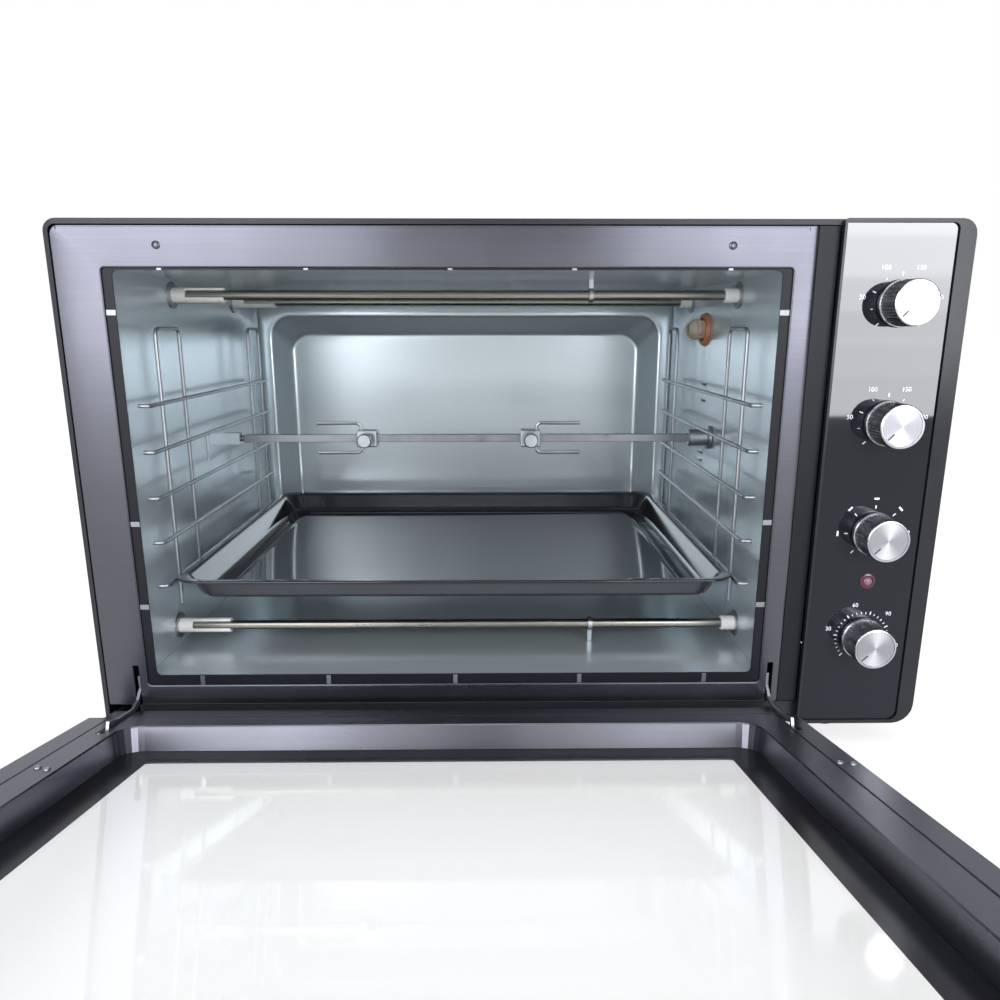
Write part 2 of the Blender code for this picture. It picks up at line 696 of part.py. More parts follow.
def spit_rod():
    """A square bar with a round nose on the left and a square tenon on the right."""
    half = SPIT_SIDE / 2
    square_left = SPIT_LEFT + 16 * MM
    made = box("spit_rod", (square_left - SPIT_LEFT, -half, -half),
               (SPIT_RIGHT - SPIT_LEFT, half, half), 0.4 * MM)
    made.data.transform(Matrix.Translation(made.location))
    made.location = (SPIT_LEFT, SPIT_Y, SPIT_Z)
    nose = cylinder("spit_nose", 3 * MM, (0, 0, 0), 18 * MM, "X", 20)
    join(made, nose, made)
    finish_part(made, "chrome")


def fork(name, x, side):
    """A meat fork: a hub that slides on the spit and two prongs that point outwards."""
    hub_half = 11 * MM
    made = box(name, (-hub_half, -9 * MM, -9 * MM), (hub_half, 9 * MM, 9 * MM), 1.5 * MM)
    made.location = (x, SPIT_Y, SPIT_Z)
    for index, z in enumerate((16 * MM, -16 * MM)):
        near = side * (hub_half - 4 * MM)
        path = ((near, 0, math.copysign(6 * MM, z)), (near, 0, z - math.copysign(3 * MM, z)),
                (near + side * 3 * MM, 0, z), (near + side * 47 * MM, 0, z))
        prong = wire(f"{name}_prong_{index}", path, 1.8 * MM)
        join(made, prong, made)
    cut(made, box(f"{name}_bore", (-20 * MM, -4.4 * MM, -4.4 * MM), (20 * MM, 4.4 * MM, 4.4 * MM)), made)
    cut(made, cylinder(f"{name}_thread", 2.4 * MM, (0, -22 * MM, 0), 20 * MM, "Y", 16), made)
    finish_part(made, "chrome")


def thumb_screw(name, x):
    """The screw that clamps a fork to the spit, with a flat round head."""
    profile = ((0, 25 * MM), (6.5 * MM, 25 * MM), (7.5 * MM, 24 * MM), (7.5 * MM, 18 * MM),
               (6.5 * MM, 17 * MM), (2 * MM, 17 * MM), (2 * MM, 4.7 * MM), (0, 4.7 * MM))
    made = turned(name, profile, 20)
    made.location = (x, SPIT_Y, SPIT_Z)
    made.rotation_euler.x = math.radians(90)
    finish_part(made, "chrome")


def spit_bracket():
    """The cradle on the left wall that the spit's nose turns in."""
    wall = CAVITY_LEFT + GAP
    made = box("spit_bracket", (wall, SPIT_Y - 14 * MM, SPIT_Z - 22 * MM),
               (wall + 1.5 * MM, SPIT_Y + 14 * MM, SPIT_Z + 9 * MM))
    reach = SPIT_LEFT + 12 * MM
    join(made, box("cradle_block", (wall + MM, SPIT_Y - 6 * MM, SPIT_Z - 6 * MM),
                   (reach, SPIT_Y + 6 * MM, SPIT_Z + 6 * MM)))
    cut(made, box("cradle_groove", (SPIT_LEFT - 6 * MM, SPIT_Y - 3.6 * MM, SPIT_Z - 3.4 * MM),
                  (reach + 5 * MM, SPIT_Y + 3.6 * MM, SPIT_Z + 20 * MM)))
    finish_part(made, "chrome")


def drive_socket():
    """The turning socket on the right wall, with a square hole for the spit and a shaft to the motor."""
    inside = 24 * MM
    profile = ((0, inside), (8 * MM, inside), (9 * MM, inside - MM), (9 * MM, 5 * MM), (12.5 * MM, 3.5 * MM),
               (12.5 * MM, 1 * MM), (4 * MM, 1 * MM), (4 * MM, -22 * MM), (0, -22 * MM))
    made = turned("drive_socket", profile, 28)
    made.location = (CAVITY_RIGHT, SPIT_Y, SPIT_Z)
    made.rotation_euler.y = math.radians(-90)
    half = SPIT_SIDE / 2 + 0.4 * MM
    hole = box("socket_square", (-half, -half, 5 * MM), (half, half, 40 * MM))
    cut(made, hole, made)
    finish_part(made, "chrome")


def spit_motor():
    """The gear motor behind the right wall: a flat gearbox and a round motor can."""
    start = CAVITY_RIGHT + SHEET + 4 * MM
    made = box("spit_motor", (start, SPIT_Y - 25 * MM, SPIT_Z - 25 * MM),
               (start + 20 * MM, SPIT_Y + 25 * MM, SPIT_Z + 25 * MM), 2 * MM)
    join(made, cylinder("motor_can", 21 * MM, (start + 15 * MM, SPIT_Y, SPIT_Z), 22 * MM, "X", 32))
    cut(made, cylinder("motor_bore", 4.5 * MM, (start - 5 * MM, SPIT_Y, SPIT_Z), 24 * MM, "X", 24))
    finish_part(made, "galvanised")


# ---------------------------------------------------------------- door

DOOR_RECT = ((DOOR_LEFT, DOOR_BOTTOM), (DOOR_RIGHT, DOOR_TOP))


def door_notches(made):
    """Corner cut-outs that leave room for the hinge brackets."""
    spans = ((DOOR_LEFT - 5 * MM, DOOR_LEFT + 13 * MM), (DOOR_RIGHT - 13 * MM, DOOR_RIGHT + 5 * MM))
    for index, (low, high) in enumerate(spans):
        cutter = box(f"{made.name}_notch_{index}", (low, -30 * MM, -20 * MM), (high, 30 * MM, 13 * MM))
        cut(made, cutter, door)


def door_inner_panel():
    """The brushed inner skin: a flat flange and a sloping wall down to the glass."""
    mouth = grow(DOOR_RECT, -DOOR_FLANGE)
    rings = ((DOOR_RECT, 4 * MM, DOOR_INNER), (grow(DOOR_RECT, -17 * MM), 4 * MM, DOOR_INNER),
             (grow(DOOR_RECT, -18 * MM), 4 * MM, DOOR_INNER - 0.6 * MM),
             (grow(DOOR_RECT, -19 * MM), 4 * MM, DOOR_INNER),
             (mouth, 18 * MM, DOOR_INNER), (grow(mouth, -1 * MM), 17 * MM, DOOR_INNER - 1 * MM),
             (grow(mouth, -4 * MM), 15 * MM, GLASS_INNER + GAP))
    made = pressed_sheet("door_inner_panel", rings, SHEET, facing=1)
    door_notches(made)
    for index, x in enumerate(LINK_X):
        low, high = (x - 2.8 * MM, 10 * MM, -20 * MM), (x + 2.8 * MM, 25 * MM, 55 * MM)
        cut(made, box(f"panel_slot_{index}", low, high), door)
    finish_part(made, "gunmetal", door)


def door_outer_frame():
    """The outer skin: side walls all round and a face with the viewing window."""
    window = ((DOOR_LEFT + 62 * MM, DOOR_BOTTOM + 62 * MM), (DOOR_RIGHT - 62 * MM, DOOR_TOP - 74 * MM))
    back = DOOR_INNER - SHEET - GAP
    rings = ((DOOR_RECT, 4 * MM, back), (DOOR_RECT, 4 * MM, DOOR_OUTER + 2 * MM),
             (grow(DOOR_RECT, -2 * MM), 3 * MM, DOOR_OUTER), (window, 10 * MM, DOOR_OUTER))
    made = pressed_sheet("door_outer_frame", rings, 1.2 * MM)
    door_notches(made)
    finish_part(made, "black_enamel", door)


def door_glass():
    rect = grow(DOOR_RECT, -22 * MM)
    made = flat_plate("door_glass", (rounded_outline(*rect, 10 * MM, 4),), GLASS_THICKNESS)
    made.location.y = GLASS_INNER - GLASS_THICKNESS / 2
    finish_part(made, "door_glass", door)


def door_hinge_bar():
    """The solid bar along the door's bottom that turns on the two hinge pins."""
    ends = (DOOR_LEFT + 13.5 * MM, DOOR_RIGHT - 13.5 * MM)
    made = box("door_hinge_bar", (ends[0], -7 * MM, -3.4 * MM), (ends[1], 14 * MM, 9 * MM), 1 * MM)
    for index, x in enumerate(ends):
        start = x - 14 * MM
        cut(made, cylinder(f"pin_bore_{index}", PIN_RADIUS + 0.3 * MM, (start, 0, 0), 28 * MM, "X", 24), door)
    finish_part(made, "galvanised", door)


def hinge_brackets():
    """A lug on each side of the base that holds the pin on which the door turns."""
    thick = 4 * MM
    places = (("hinge_bracket_left", DOOR_LEFT + thick, 1),
              ("hinge_bracket_right", DOOR_RIGHT - 2 * thick, -1))
    for name, x, inward in places:
        made = cylinder(name, 6 * MM, (x, HINGE_Y, HINGE_Z), thick, "X", 24)
        arm_low = (x + 0.2 * MM, HINGE_Y, RIM + GAP)
        join(made, box(f"{name}_arm", arm_low, (x + thick - 0.2 * MM, 60 * MM, HINGE_Z + 5.5 * MM)))
        reach = 18 * MM
        start = x + thick / 2 if inward > 0 else x + thick / 2 - reach
        join(made, cylinder(f"{name}_pin", PIN_RADIUS, (start, HINGE_Y, HINGE_Z), reach, "X", 24))
        finish_part(made, "galvanised")


def link_outline():
    """The bent strap's centre line in YZ, from its pivot in the door to its hooked tail."""
    y, z = LINK_PIVOT
    turn = Matrix.Rotation(DOOR_OPEN, 2)
    pivot = turn @ Vector((y, z)) + Vector((HINGE_Y, HINGE_Z))
    bends = ((-53, 31), (-39.5, 25.5), (-14, 20.5), (-2, 24), (6.4, 33), (6.4, 45))
    return [pivot] + [Vector((a * MM, b * MM)) for a, b in bends]


def hinge_links():
    """The bright straps that reach from the door through the frame and stop it when it is open."""
    line = link_outline()
    half = 2.4 * MM
    for name, x in zip(("hinge_link_left", "hinge_link_right"), LINK_X):
        left, right = [], []
        for index, point in enumerate(line):
            before = line[max(index - 1, 0)]
            after = line[min(index + 1, len(line) - 1)]
            along = (after - before).normalized()
            side = Vector((-along.y, along.x)) * half
            left.append(point + side)
            right.append(point - side)
        outline = [point - line[0] for point in left + right[::-1]]
        made = flat_plate(name, ([tuple(point) for point in outline],), 2.4 * MM)
        made.data.transform(Matrix.Rotation(math.radians(90), 4, "Z"))
        made.location = (x, line[0].x, line[0].y)
        pin = cylinder(f"{name}_pin", 2 * MM, (-5 * MM, 0, 0), 10 * MM, "X", 16)
        join(made, pin, made)
        finish_part(made, "chrome")


def handle():
    """The bar handle and the two posts that hold it off the door."""
    axis_y = DOOR_OUTER - HANDLE_REACH
    start = DOOR_MIDDLE - HANDLE_LENGTH / 2
    bar = cylinder("handle_bar", HANDLE_RADIUS, (start, axis_y, HANDLE_Z), HANDLE_LENGTH, "X", 32)
    add_bevel(bar, 1.5 * MM)
    finish_part(bar, "spun_steel", door)
    for name, side in (("handle_post_left", -1), ("handle_post_right", 1)):
        x = DOOR_MIDDLE + side * POST_SPACING / 2
        made = cylinder(name, 6 * MM, (x, axis_y, HANDLE_Z), HANDLE_REACH - GAP, "Y", 24)
        start = (x - 20 * MM, axis_y, HANDLE_Z)
        cut(made, cylinder(f"{name}_saddle", HANDLE_RADIUS + GAP, start, 40 * MM, "X", 32), door)
        finish_part(made, "spun_steel", door)


# ---------------------------------------------------------------- rear

def rear_cover():
    """The pressed rear cover, with two banks of slots and a hole for the cable inlet."""
    edge = ((-WIDTH / 2 + 3 * MM, 22 * MM), (WIDTH / 2 - 3 * MM, HEIGHT - 3 * MM))
    start = DEPTH + GAP
    depth = 16 * MM
    # Seen from behind: the sheet faces +Y and bulges away from the cabinet.
    rings = ((edge, 10 * MM, start + SHEET), (grow(edge, -22 * MM), 14 * MM, start + SHEET),
             (grow(edge, -30 * MM), 12 * MM, start + depth - 2 * MM),
             (grow(edge, -32 * MM), 10 * MM, start + depth))
    made = pressed_sheet("rear_cover", rings, SHEET, facing=1, capped=True)
    for bank, x in enumerate((-230 * MM, 120 * MM)):
        for row in range(5):
            z = 250 * MM + row * 18 * MM
            low, high = (x, start, z), (x + 110 * MM, start + 40 * MM, z + 5 * MM)
            cut(made, box(f"rear_vent_{bank}_{row}", low, high))
    cut(made, cylinder("inlet_hole", 9 * MM, (INLET_X, start, INLET_Z), 40 * MM, "Y"))
    finish_part(made, "black_enamel")


def cable_grommet():
    """The moulded ring in the rear cover that the mains cable enters through."""
    profile = ((5 * MM, 4 * MM), (10 * MM, 4 * MM), (11.5 * MM, 2.5 * MM), (11.5 * MM, 0.3 * MM),
               (8.6 * MM, 0.3 * MM), (8.6 * MM, -6 * MM), (5 * MM, -6 * MM))
    made = turned("cable_grommet", profile, 24, ring=True)
    made.location = (INLET_X, DEPTH + GAP + 16 * MM, INLET_Z)
    made.rotation_euler.x = math.radians(-90)
    finish_part(made, "rubber")


# ---------------------------------------------------------------- the whole oven

outer_shell()
base_plate()
feet()
front_frame()
cavity_collar()
trim_strip()
control_bezel()
control_panel()
indicator_lens()
for control, height, size in zip(CONTROL_NAMES, KNOB_HEIGHTS, CONTROL_SIZES):
    knob(f"{control}_knob", height)
    control_body(control, height, size)
cavity_walls()
cavity_back()
heaters()
heater_hangers()
side_rack("side_rack_left", -1)
side_rack("side_rack_right", 1)
baking_tray()
lamp()
spit_rod()
fork("fork_left", FORK_X[0], -1)
fork("fork_right", FORK_X[1], 1)
thumb_screw("thumb_screw_left", FORK_X[0])
thumb_screw("thumb_screw_right", FORK_X[1])
spit_bracket()
drive_socket()
spit_motor()
door_inner_panel()
door_outer_frame()
door_glass()
door_hinge_bar()
hinge_brackets()
hinge_links()
handle()
rear_cover()
cable_grommet()
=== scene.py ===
"""The looks of the rotisserie oven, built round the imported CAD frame.

Units are metres, +Z is up and the oven faces -Y.  Helpers come first, then the materials,
then one function for each group of pieces, then the studio.
"""
import json
import math

import bmesh
import bpy
from mathutils import Matrix, Vector

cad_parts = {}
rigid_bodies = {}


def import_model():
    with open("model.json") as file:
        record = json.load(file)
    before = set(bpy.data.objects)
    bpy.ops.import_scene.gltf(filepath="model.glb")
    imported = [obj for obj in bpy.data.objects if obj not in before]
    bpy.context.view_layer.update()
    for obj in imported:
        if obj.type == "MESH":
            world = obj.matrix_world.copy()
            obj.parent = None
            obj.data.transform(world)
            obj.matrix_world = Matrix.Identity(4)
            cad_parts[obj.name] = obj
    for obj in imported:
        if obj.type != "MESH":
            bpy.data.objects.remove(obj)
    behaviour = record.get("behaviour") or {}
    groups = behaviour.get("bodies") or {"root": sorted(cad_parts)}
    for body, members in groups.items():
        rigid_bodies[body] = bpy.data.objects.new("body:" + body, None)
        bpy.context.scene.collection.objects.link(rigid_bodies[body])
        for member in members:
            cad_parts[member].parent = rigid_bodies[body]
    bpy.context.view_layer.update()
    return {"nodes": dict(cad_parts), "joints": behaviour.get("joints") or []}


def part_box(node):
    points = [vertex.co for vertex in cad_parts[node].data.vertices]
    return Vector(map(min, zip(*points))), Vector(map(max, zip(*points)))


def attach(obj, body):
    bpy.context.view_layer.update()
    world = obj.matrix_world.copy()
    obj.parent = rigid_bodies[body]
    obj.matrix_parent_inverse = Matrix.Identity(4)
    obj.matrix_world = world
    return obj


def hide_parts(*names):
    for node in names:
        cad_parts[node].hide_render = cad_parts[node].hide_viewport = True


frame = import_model()
nodes = frame["nodes"]

MM = 0.001
JOINTS = {joint["name"]: joint for joint in frame["joints"]}

# Places that many pieces share, read from the frame
SHELL_LOW, SHELL_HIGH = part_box("outer_shell")
FRONT_Y = SHELL_LOW.y
GROUND_TO_BODY = SHELL_LOW.z
PANEL_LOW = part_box("control_panel")[0]
WALL_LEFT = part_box("cavity_left_wall")[1].x
WALL_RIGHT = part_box("cavity_right_wall")[0].x
FLOOR_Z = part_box("cavity_floor")[1].z
CEILING_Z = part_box("cavity_ceiling")[0].z
HINGE = Vector((0, *JOINTS["door_hinge"]["pos_m"][1:]))
DOOR_OPEN = math.radians(JOINTS["door_hinge"]["range_deg"][1])
KNOBS = ("upper_thermostat_knob", "lower_thermostat_knob", "function_switch_knob", "timer_knob")


# ---------------------------------------------------------------- shape helpers

collection = bpy.data.collections.new("looks")
bpy.context.scene.collection.children.link(collection)


def piece(name, build, material=None, body="cabinet", smooth=35, matrix=None):
    """A mesh piece made in a bmesh, placed by an optional matrix, that rides on a body."""
    data = bpy.data.meshes.new(name)
    bm = bmesh.new()
    build(bm)
    if matrix is not None:
        bmesh.ops.transform(bm, matrix=matrix, verts=bm.verts)
    bm.to_mesh(data)
    bm.free()
    made = bpy.data.objects.new(name, data)
    collection.objects.link(made)
    if material is not None:
        data.materials.append(material)
    data.shade_smooth()
    data.set_sharp_from_angle(angle=math.radians(smooth))
    if body:
        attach(made, body)
    return made


def bevel(made, width, segments=3, angle=30):
    """Rounds the edges of a piece that are sharper than an angle."""
    step = made.modifiers.new("rounded_edges", "BEVEL")
    step.width = width
    step.segments = segments
    step.limit_method = "ANGLE"
    step.angle_limit = math.radians(angle)
    step.harden_normals = True
    return made


def box_build(low, high):
    """A box between two corners."""
    low, high = Vector(low), Vector(high)

    def build(bm):
        bmesh.ops.create_cube(bm, size=1)
        bmesh.ops.scale(bm, vec=high - low, verts=bm.verts)
        bmesh.ops.translate(bm, vec=(low + high) / 2, verts=bm.verts)

    return build


def turned_build(profile, steps=48, ring=False):
    """Faces swept round Z through an (r, z) profile that runs from the top down the outside."""

    def build(bm):
        rows = []
        for radius, z in profile:
            if radius < 1e-7:
                rows.append([bm.verts.new((0, 0, z))])
                continue
            angles = (2 * math.pi * i / steps for i in range(steps))
            rows.append([bm.verts.new((radius * math.cos(a), radius * math.sin(a), z)) for a in angles])
        pairs = list(zip(rows, rows[1:]))
        if ring:
            pairs.append((rows[-1], rows[0]))
        for upper, lower in pairs:
            for i in range(steps):
                j = (i + 1) % steps
                corners = (upper[i % len(upper)], lower[i % len(lower)],
                           lower[j % len(lower)], upper[j % len(upper)])
                unique = list(dict.fromkeys(corners))
                if len(unique) > 2:
                    bm.faces.new(unique)

    return build


def arc(radius, start_r, height, steps=4):
    """Profile points of a quarter-round edge that starts flat at (start_r, height)."""
    angles = (math.radians(90 * i / steps) for i in range(steps + 1))
    return [(start_r + radius * math.sin(a), height - radius + radius * math.cos(a)) for a in angles]


def outline(low, high, radii, segments=10):
    """Points of a rounded rectangle, anticlockwise from its lower left corner."""
    if not isinstance(radii, (tuple, list)):
        radii = (radii,) * 4
    (u0, v0), (u1, v1) = low, high
    corners = ((u0, v0, 1, 1, 180), (u1, v0, -1, 1, 270), (u1, v1, -1, -1, 0), (u0, v1, 1, -1, 90))
    points = []
    for (u, v, du, dv, first), radius in zip(corners, radii):
        for step in range(segments + 1):
            angle = math.radians(first + 90 * step / segments)
            points.append((u + du * radius + radius * math.cos(angle),
                           v + dv * radius + radius * math.sin(angle)))
    return points


def grow(rect, amount):
    """A rectangle with every side moved out by an amount."""
    (u0, v0), (u1, v1) = rect
    return (u0 - amount, v0 - amount), (u1 + amount, v1 + amount)


def loft_build(rings, plane="front", flip=False, capped=False, closed=False, segments=10):
    """Faces through rounded rectangles (rect, radii, depth), from the outside in."""

    def build(bm):
        rows = []
        for rect, radii, depth in rings:
            points = outline(*rect, radii, segments)
            if flip:
                points.reverse()
            if plane == "front":
                rows.append([bm.verts.new((u, depth, v)) for u, v in points])
            else:
                rows.append([bm.verts.new((u, v, depth)) for u, v in points])
        count = len(rows[0])
        pairs = list(zip(rows, rows[1:]))
        if closed:
            pairs.append((rows[-1], rows[0]))
        for outer, inner in pairs:
            for i in range(count):
                j = (i + 1) % count
                bm.faces.new((outer[i], outer[j], inner[j], inner[i]))
        if capped:
            bm.faces.new(rows[-1])

    return build


def sheet(made, thickness):
    """Gives a surface the thickness of its metal."""
    solid = made.modifiers.new("sheet", "SOLIDIFY")
    solid.thickness = thickness
    solid.offset = -1
    solid.use_even_offset = True
    return made


def wire(name, points, radius, finish, rounding, sides=12):
    """A round rod along points, with its inner bends rounded."""
    path = rounded_path([Vector(p) for p in points], rounding)

    def build(bm):
        rows = []
        side = None
        for index, point in enumerate(path):
            before = path[max(index - 1, 0)]
            after = path[min(index + 1, len(path) - 1)]
            along = (after - before).normalized()
            if side is None:
                side = along.orthogonal().normalized()
            side = (side - along * side.dot(along)).normalized()
            other = along.cross(side)
            ring = []
            for step in range(sides):
                angle = 2 * math.pi * step / sides
                ring.append(bm.verts.new(point + radius * (math.cos(angle) * side + math.sin(angle) * other)))
            rows.append(ring)
        for a, b in zip(rows, rows[1:]):
            for i in range(sides):
                j = (i + 1) % sides
                bm.faces.new((a[i], a[j], b[j], b[i]))
        bm.faces.new(rows[0][::-1])
        bm.faces.new(rows[-1])

    return piece(name, build, finish, smooth=50)


def rounded_path(points, radius, steps=6):
    """The path with each inner corner replaced by a smooth curve that starts a radius away."""
    path = [points[0]]
    for before, corner, after in zip(points, points[1:], points[2:]):
        start = corner + (before - corner).normalized() * min(radius, (before - corner).length * 0.49)
        end = corner + (after - corner).normalized() * min(radius, (after - corner).length * 0.49)
        for step in range(steps + 1):
            t = step / steps
            path.append((1 - t) ** 2 * start + 2 * t * (1 - t) * corner + t ** 2 * end)
    path.append(points[-1])
    return path


def door_place():
    """The matrix from the shut door's layout, with its origin on the hinge, to the open door."""
    return Matrix.Translation(HINGE) @ Matrix.Rotation(DOOR_OPEN, 4, "X")


def facing_front(x, y, z):
    """Turns a piece built along +Z so that it points out of the front of the oven."""
    return Matrix.Translation((x, y, z)) @ Matrix.Rotation(math.radians(90), 4, "X")


# ---------------------------------------------------------------- material helpers

def material(name, colour, roughness, metallic=0.0, **sockets):
    """A plain Principled material; other sockets are named with _ for a space."""
    made = bpy.data.materials.new(name)
    made.use_nodes = True
    shader = made.node_tree.nodes["Principled BSDF"]
    shader.inputs["Base Color"].default_value = (*colour, 1)
    shader.inputs["Roughness"].default_value = roughness
    shader.inputs["Metallic"].default_value = metallic
    for socket, value in sockets.items():
        shader.inputs[socket.replace("_", " ")].default_value = value
    return made


class Graph:
    """Short calls for the nodes of one material."""

    def __init__(self, made):
        self.tree = made.node_tree
        self.shader = self.tree.nodes["Principled BSDF"]

    def add(self, kind, **settings):
        node = self.tree.nodes.new(kind)
        for key, value in settings.items():
            setattr(node, key, value)
        return node

    def link(self, source, target):
        self.tree.links.new(source, target)

    def coords(self, scale=(1, 1, 1), location=(0, 0, 0)):
        place = self.add("ShaderNodeTexCoord")
        mapping = self.add("ShaderNodeMapping")
        mapping.inputs["Scale"].default_value = scale
        mapping.inputs["Location"].default_value = location
        self.link(place.outputs["Object"], mapping.inputs["Vector"])
        return mapping.outputs["Vector"]

    def noise(self, vector, scale, detail=3.0, roughness=0.5):
        node = self.add("ShaderNodeTexNoise")
        node.inputs["Scale"].default_value = scale
        node.inputs["Detail"].default_value = detail
        node.inputs["Roughness"].default_value = roughness
        self.link(vector, node.inputs["Vector"])
        return node.outputs["Fac"]

    def spread(self, value, low, high, source_low=0.3, source_high=0.7):
        """A value mapped to a range."""
        node = self.add("ShaderNodeMapRange")
        node.inputs["From Min"].default_value = source_low
        node.inputs["From Max"].default_value = source_high
        node.inputs["To Min"].default_value = low
        node.inputs["To Max"].default_value = high
        self.link(value, node.inputs["Value"])
        return node.outputs["Result"]

    def blend(self, value, first, second):
        """A colour between two colours."""
        node = self.add("ShaderNodeMix", data_type="RGBA")
        node.inputs[6].default_value = (*first, 1)
        node.inputs[7].default_value = (*second, 1)
        self.link(value, node.inputs[0])
        return node.outputs[2]

    def colour(self, value):
        self.link(value, self.shader.inputs["Base Color"])

    def roughness(self, value):
        self.link(value, self.shader.inputs["Roughness"])

    def bump(self, value, distance, strength=1.0):
        node = self.add("ShaderNodeBump")
        node.inputs["Distance"].default_value = distance
        node.inputs["Strength"].default_value = strength
        self.link(value, node.inputs["Height"])
        self.link(node.outputs["Normal"], self.shader.inputs["Normal"])


def brushed(name, dark, light, roughness, grain=(3, 900, 900), bump=0.00002):
    """Brushed metal, with its grain along the axis whose scale is small."""
    made = material(name, light, roughness, 1.0)
    graph = Graph(made)
    lines = graph.noise(graph.coords(grain), 1.0, 4)
    cloud = graph.noise(graph.coords(), 9.0, 2)
    graph.colour(graph.blend(graph.spread(lines, 0, 1), dark, light))
    graph.roughness(graph.spread(cloud, roughness - 0.05, roughness + 0.07))
    graph.bump(lines, bump, 0.6)
    return made


def enamel(name, dark, light, roughness, speckle=700.0, bump=0.00003, metallic=0.0, **sockets):
    """A sprayed or fired coat, with a fine orange-peel surface and faint cloudiness."""
    made = material(name, light, roughness, metallic, **sockets)
    graph = Graph(made)
    place = graph.coords()
    cloud = graph.noise(place, 6.0, 1)
    peel = graph.noise(place, speckle, 2)
    graph.colour(graph.blend(graph.spread(cloud, 0, 1, 0.1, 0.9), dark, light))
    graph.roughness(graph.spread(cloud, roughness - 0.03, roughness + 0.03, 0.1, 0.9))
    graph.bump(peel, bump, 0.5)
    return made


def bright(name, colour, roughness, tint):
    """Plated wire and small hardware, with faint smears and a warmer tint in patches."""
    made = material(name, colour, roughness, 1.0)
    graph = Graph(made)
    place = graph.coords()
    smear = graph.noise(place, 60.0, 3)
    graph.colour(graph.blend(graph.spread(smear, 0, 1), tint, colour))
    graph.roughness(graph.spread(smear, roughness - 0.04, roughness + 0.12))
    graph.bump(graph.noise(place, 900.0, 2), 0.00001, 0.4)
    return made


PAINTED_HIGHLIGHT_AXIS = (0.12, 0, 0.99)       # along which the painted highlight on a turned face is palest


def spun(name, centre, colour, dark, roughness):
    """Turned metal: fine rings round an axis along Y through a centre, crossed by a painted highlight: a pale
    fan in the colour, palest along one fixed direction.
    """
    made = material(name, colour, roughness, 1.0)
    graph = Graph(made)

    def vector(operation, first, second=None):
        node = graph.add("ShaderNodeVectorMath", operation=operation)
        graph.link(first, node.inputs[0])
        if second:
            node.inputs[1].default_value = second
        return node

    def number(operation, first, second):
        node = graph.add("ShaderNodeMath", operation=operation)
        graph.link(first, node.inputs[0])
        node.inputs[1].default_value = second
        return node.outputs["Value"]

    flat = vector("MULTIPLY", graph.coords(location=(-centre[0], 0, -centre[2])), (1, 0, 1)).outputs["Vector"]
    joined = graph.add("ShaderNodeCombineXYZ")
    graph.link(number("MULTIPLY", vector("LENGTH", flat).outputs["Value"], 2400.0), joined.inputs[0])
    rings = graph.noise(joined.outputs["Vector"], 1.0, 3)
    # Painted highlight: the colour turns from dark to pale in a fan along a fixed direction, whatever the
    # lamps do.
    along = vector("DOT_PRODUCT", vector("NORMALIZE", flat).outputs["Vector"], PAINTED_HIGHLIGHT_AXIS).outputs["Value"]
    painted_highlight = number("POWER", number("ABSOLUTE", along, 0.0), 5.0)
    graph.colour(graph.blend(painted_highlight, dark, colour))
    graph.roughness(graph.spread(rings, roughness - 0.05, roughness + 0.08))
    graph.bump(rings, 0.00003, 0.7)
    return made


def fine_noise_material(name, colour, other, roughness, scale, **sockets):
    """A moulded, glazed or printed surface, with fine variation in its colour and sheen."""
    made = material(name, colour, roughness, **sockets)
    graph = Graph(made)
    grain = graph.noise(graph.coords(), scale, 3)
    graph.colour(graph.blend(graph.spread(grain, 0, 1), other, colour))
    graph.roughness(graph.spread(grain, max(roughness - 0.03, 0.0), roughness + 0.05))
    graph.bump(grain, 0.000003, 0.3)
    return made


# ---------------------------------------------------------------- materials

SHELL_PAINT = enamel("shell_paint", (0.010, 0.011, 0.015), (0.014, 0.016, 0.021), 0.36, 450.0, 0.00006,
                     Specular_IOR_Level=0.4)
GUNMETAL = brushed("gunmetal", (0.104, 0.105, 0.124), (0.114, 0.116, 0.136), 0.28, (6, 900, 900), 0.000003)
GUNMETAL_DOOR = brushed("gunmetal_door", (0.18, 0.182, 0.208), (0.19, 0.193, 0.22), 0.3, (6, 900, 900),
                        0.000003)
COLLAR = enamel("collar_enamel", (0.006, 0.007, 0.010), (0.009, 0.010, 0.014), 0.4, Specular_IOR_Level=0.22)
CAVITY = enamel("cavity_coat", (0.56, 0.635, 0.67), (0.60, 0.67, 0.705), 0.24, 900.0, 0.000004, 0.66)
PANEL_GLOSS = fine_noise_material("panel_gloss", (0.006, 0.007, 0.011), (0.005, 0.006, 0.009), 0.05, 5.0,
                                  Specular_IOR_Level=0.3)
BEZEL_GLOSS = fine_noise_material("bezel_gloss", (0.009, 0.010, 0.014), (0.007, 0.008, 0.011), 0.22, 30.0,
                                  Specular_IOR_Level=0.4)
TRAY_ENAMEL = enamel("tray_enamel", (0.010, 0.010, 0.012), (0.014, 0.014, 0.017), 0.09, 500.0, 0.000004,
                     Specular_IOR_Level=1.0)
WIRE_CHROME = bright("wire_chrome", (0.46, 0.48, 0.50), 0.33, (0.40, 0.42, 0.44))
SPIT_STEEL = bright("spit_steel", (0.26, 0.27, 0.29), 0.3, (0.21, 0.22, 0.24))
TAB_STEEL = bright("tab_steel", (0.34, 0.35, 0.38), 0.4, (0.28, 0.29, 0.32))
ZINC = bright("zinc_plate", (0.50, 0.52, 0.54), 0.36, (0.44, 0.45, 0.46))
HEATER = brushed("heater_sheath", (0.20, 0.19, 0.165), (0.36, 0.345, 0.31), 0.3, (4, 300, 300), 0.00001)
CERAMIC = fine_noise_material("ceramic", (0.92, 0.91, 0.87), (0.86, 0.85, 0.80), 0.3, 90.0)
RUBBER = fine_noise_material("rubber", (0.02, 0.02, 0.021), (0.03, 0.03, 0.031), 0.75, 300.0)
BLACK_PLASTIC = fine_noise_material("black_plastic", (0.025, 0.025, 0.028), (0.035, 0.035, 0.038), 0.5, 200.0)
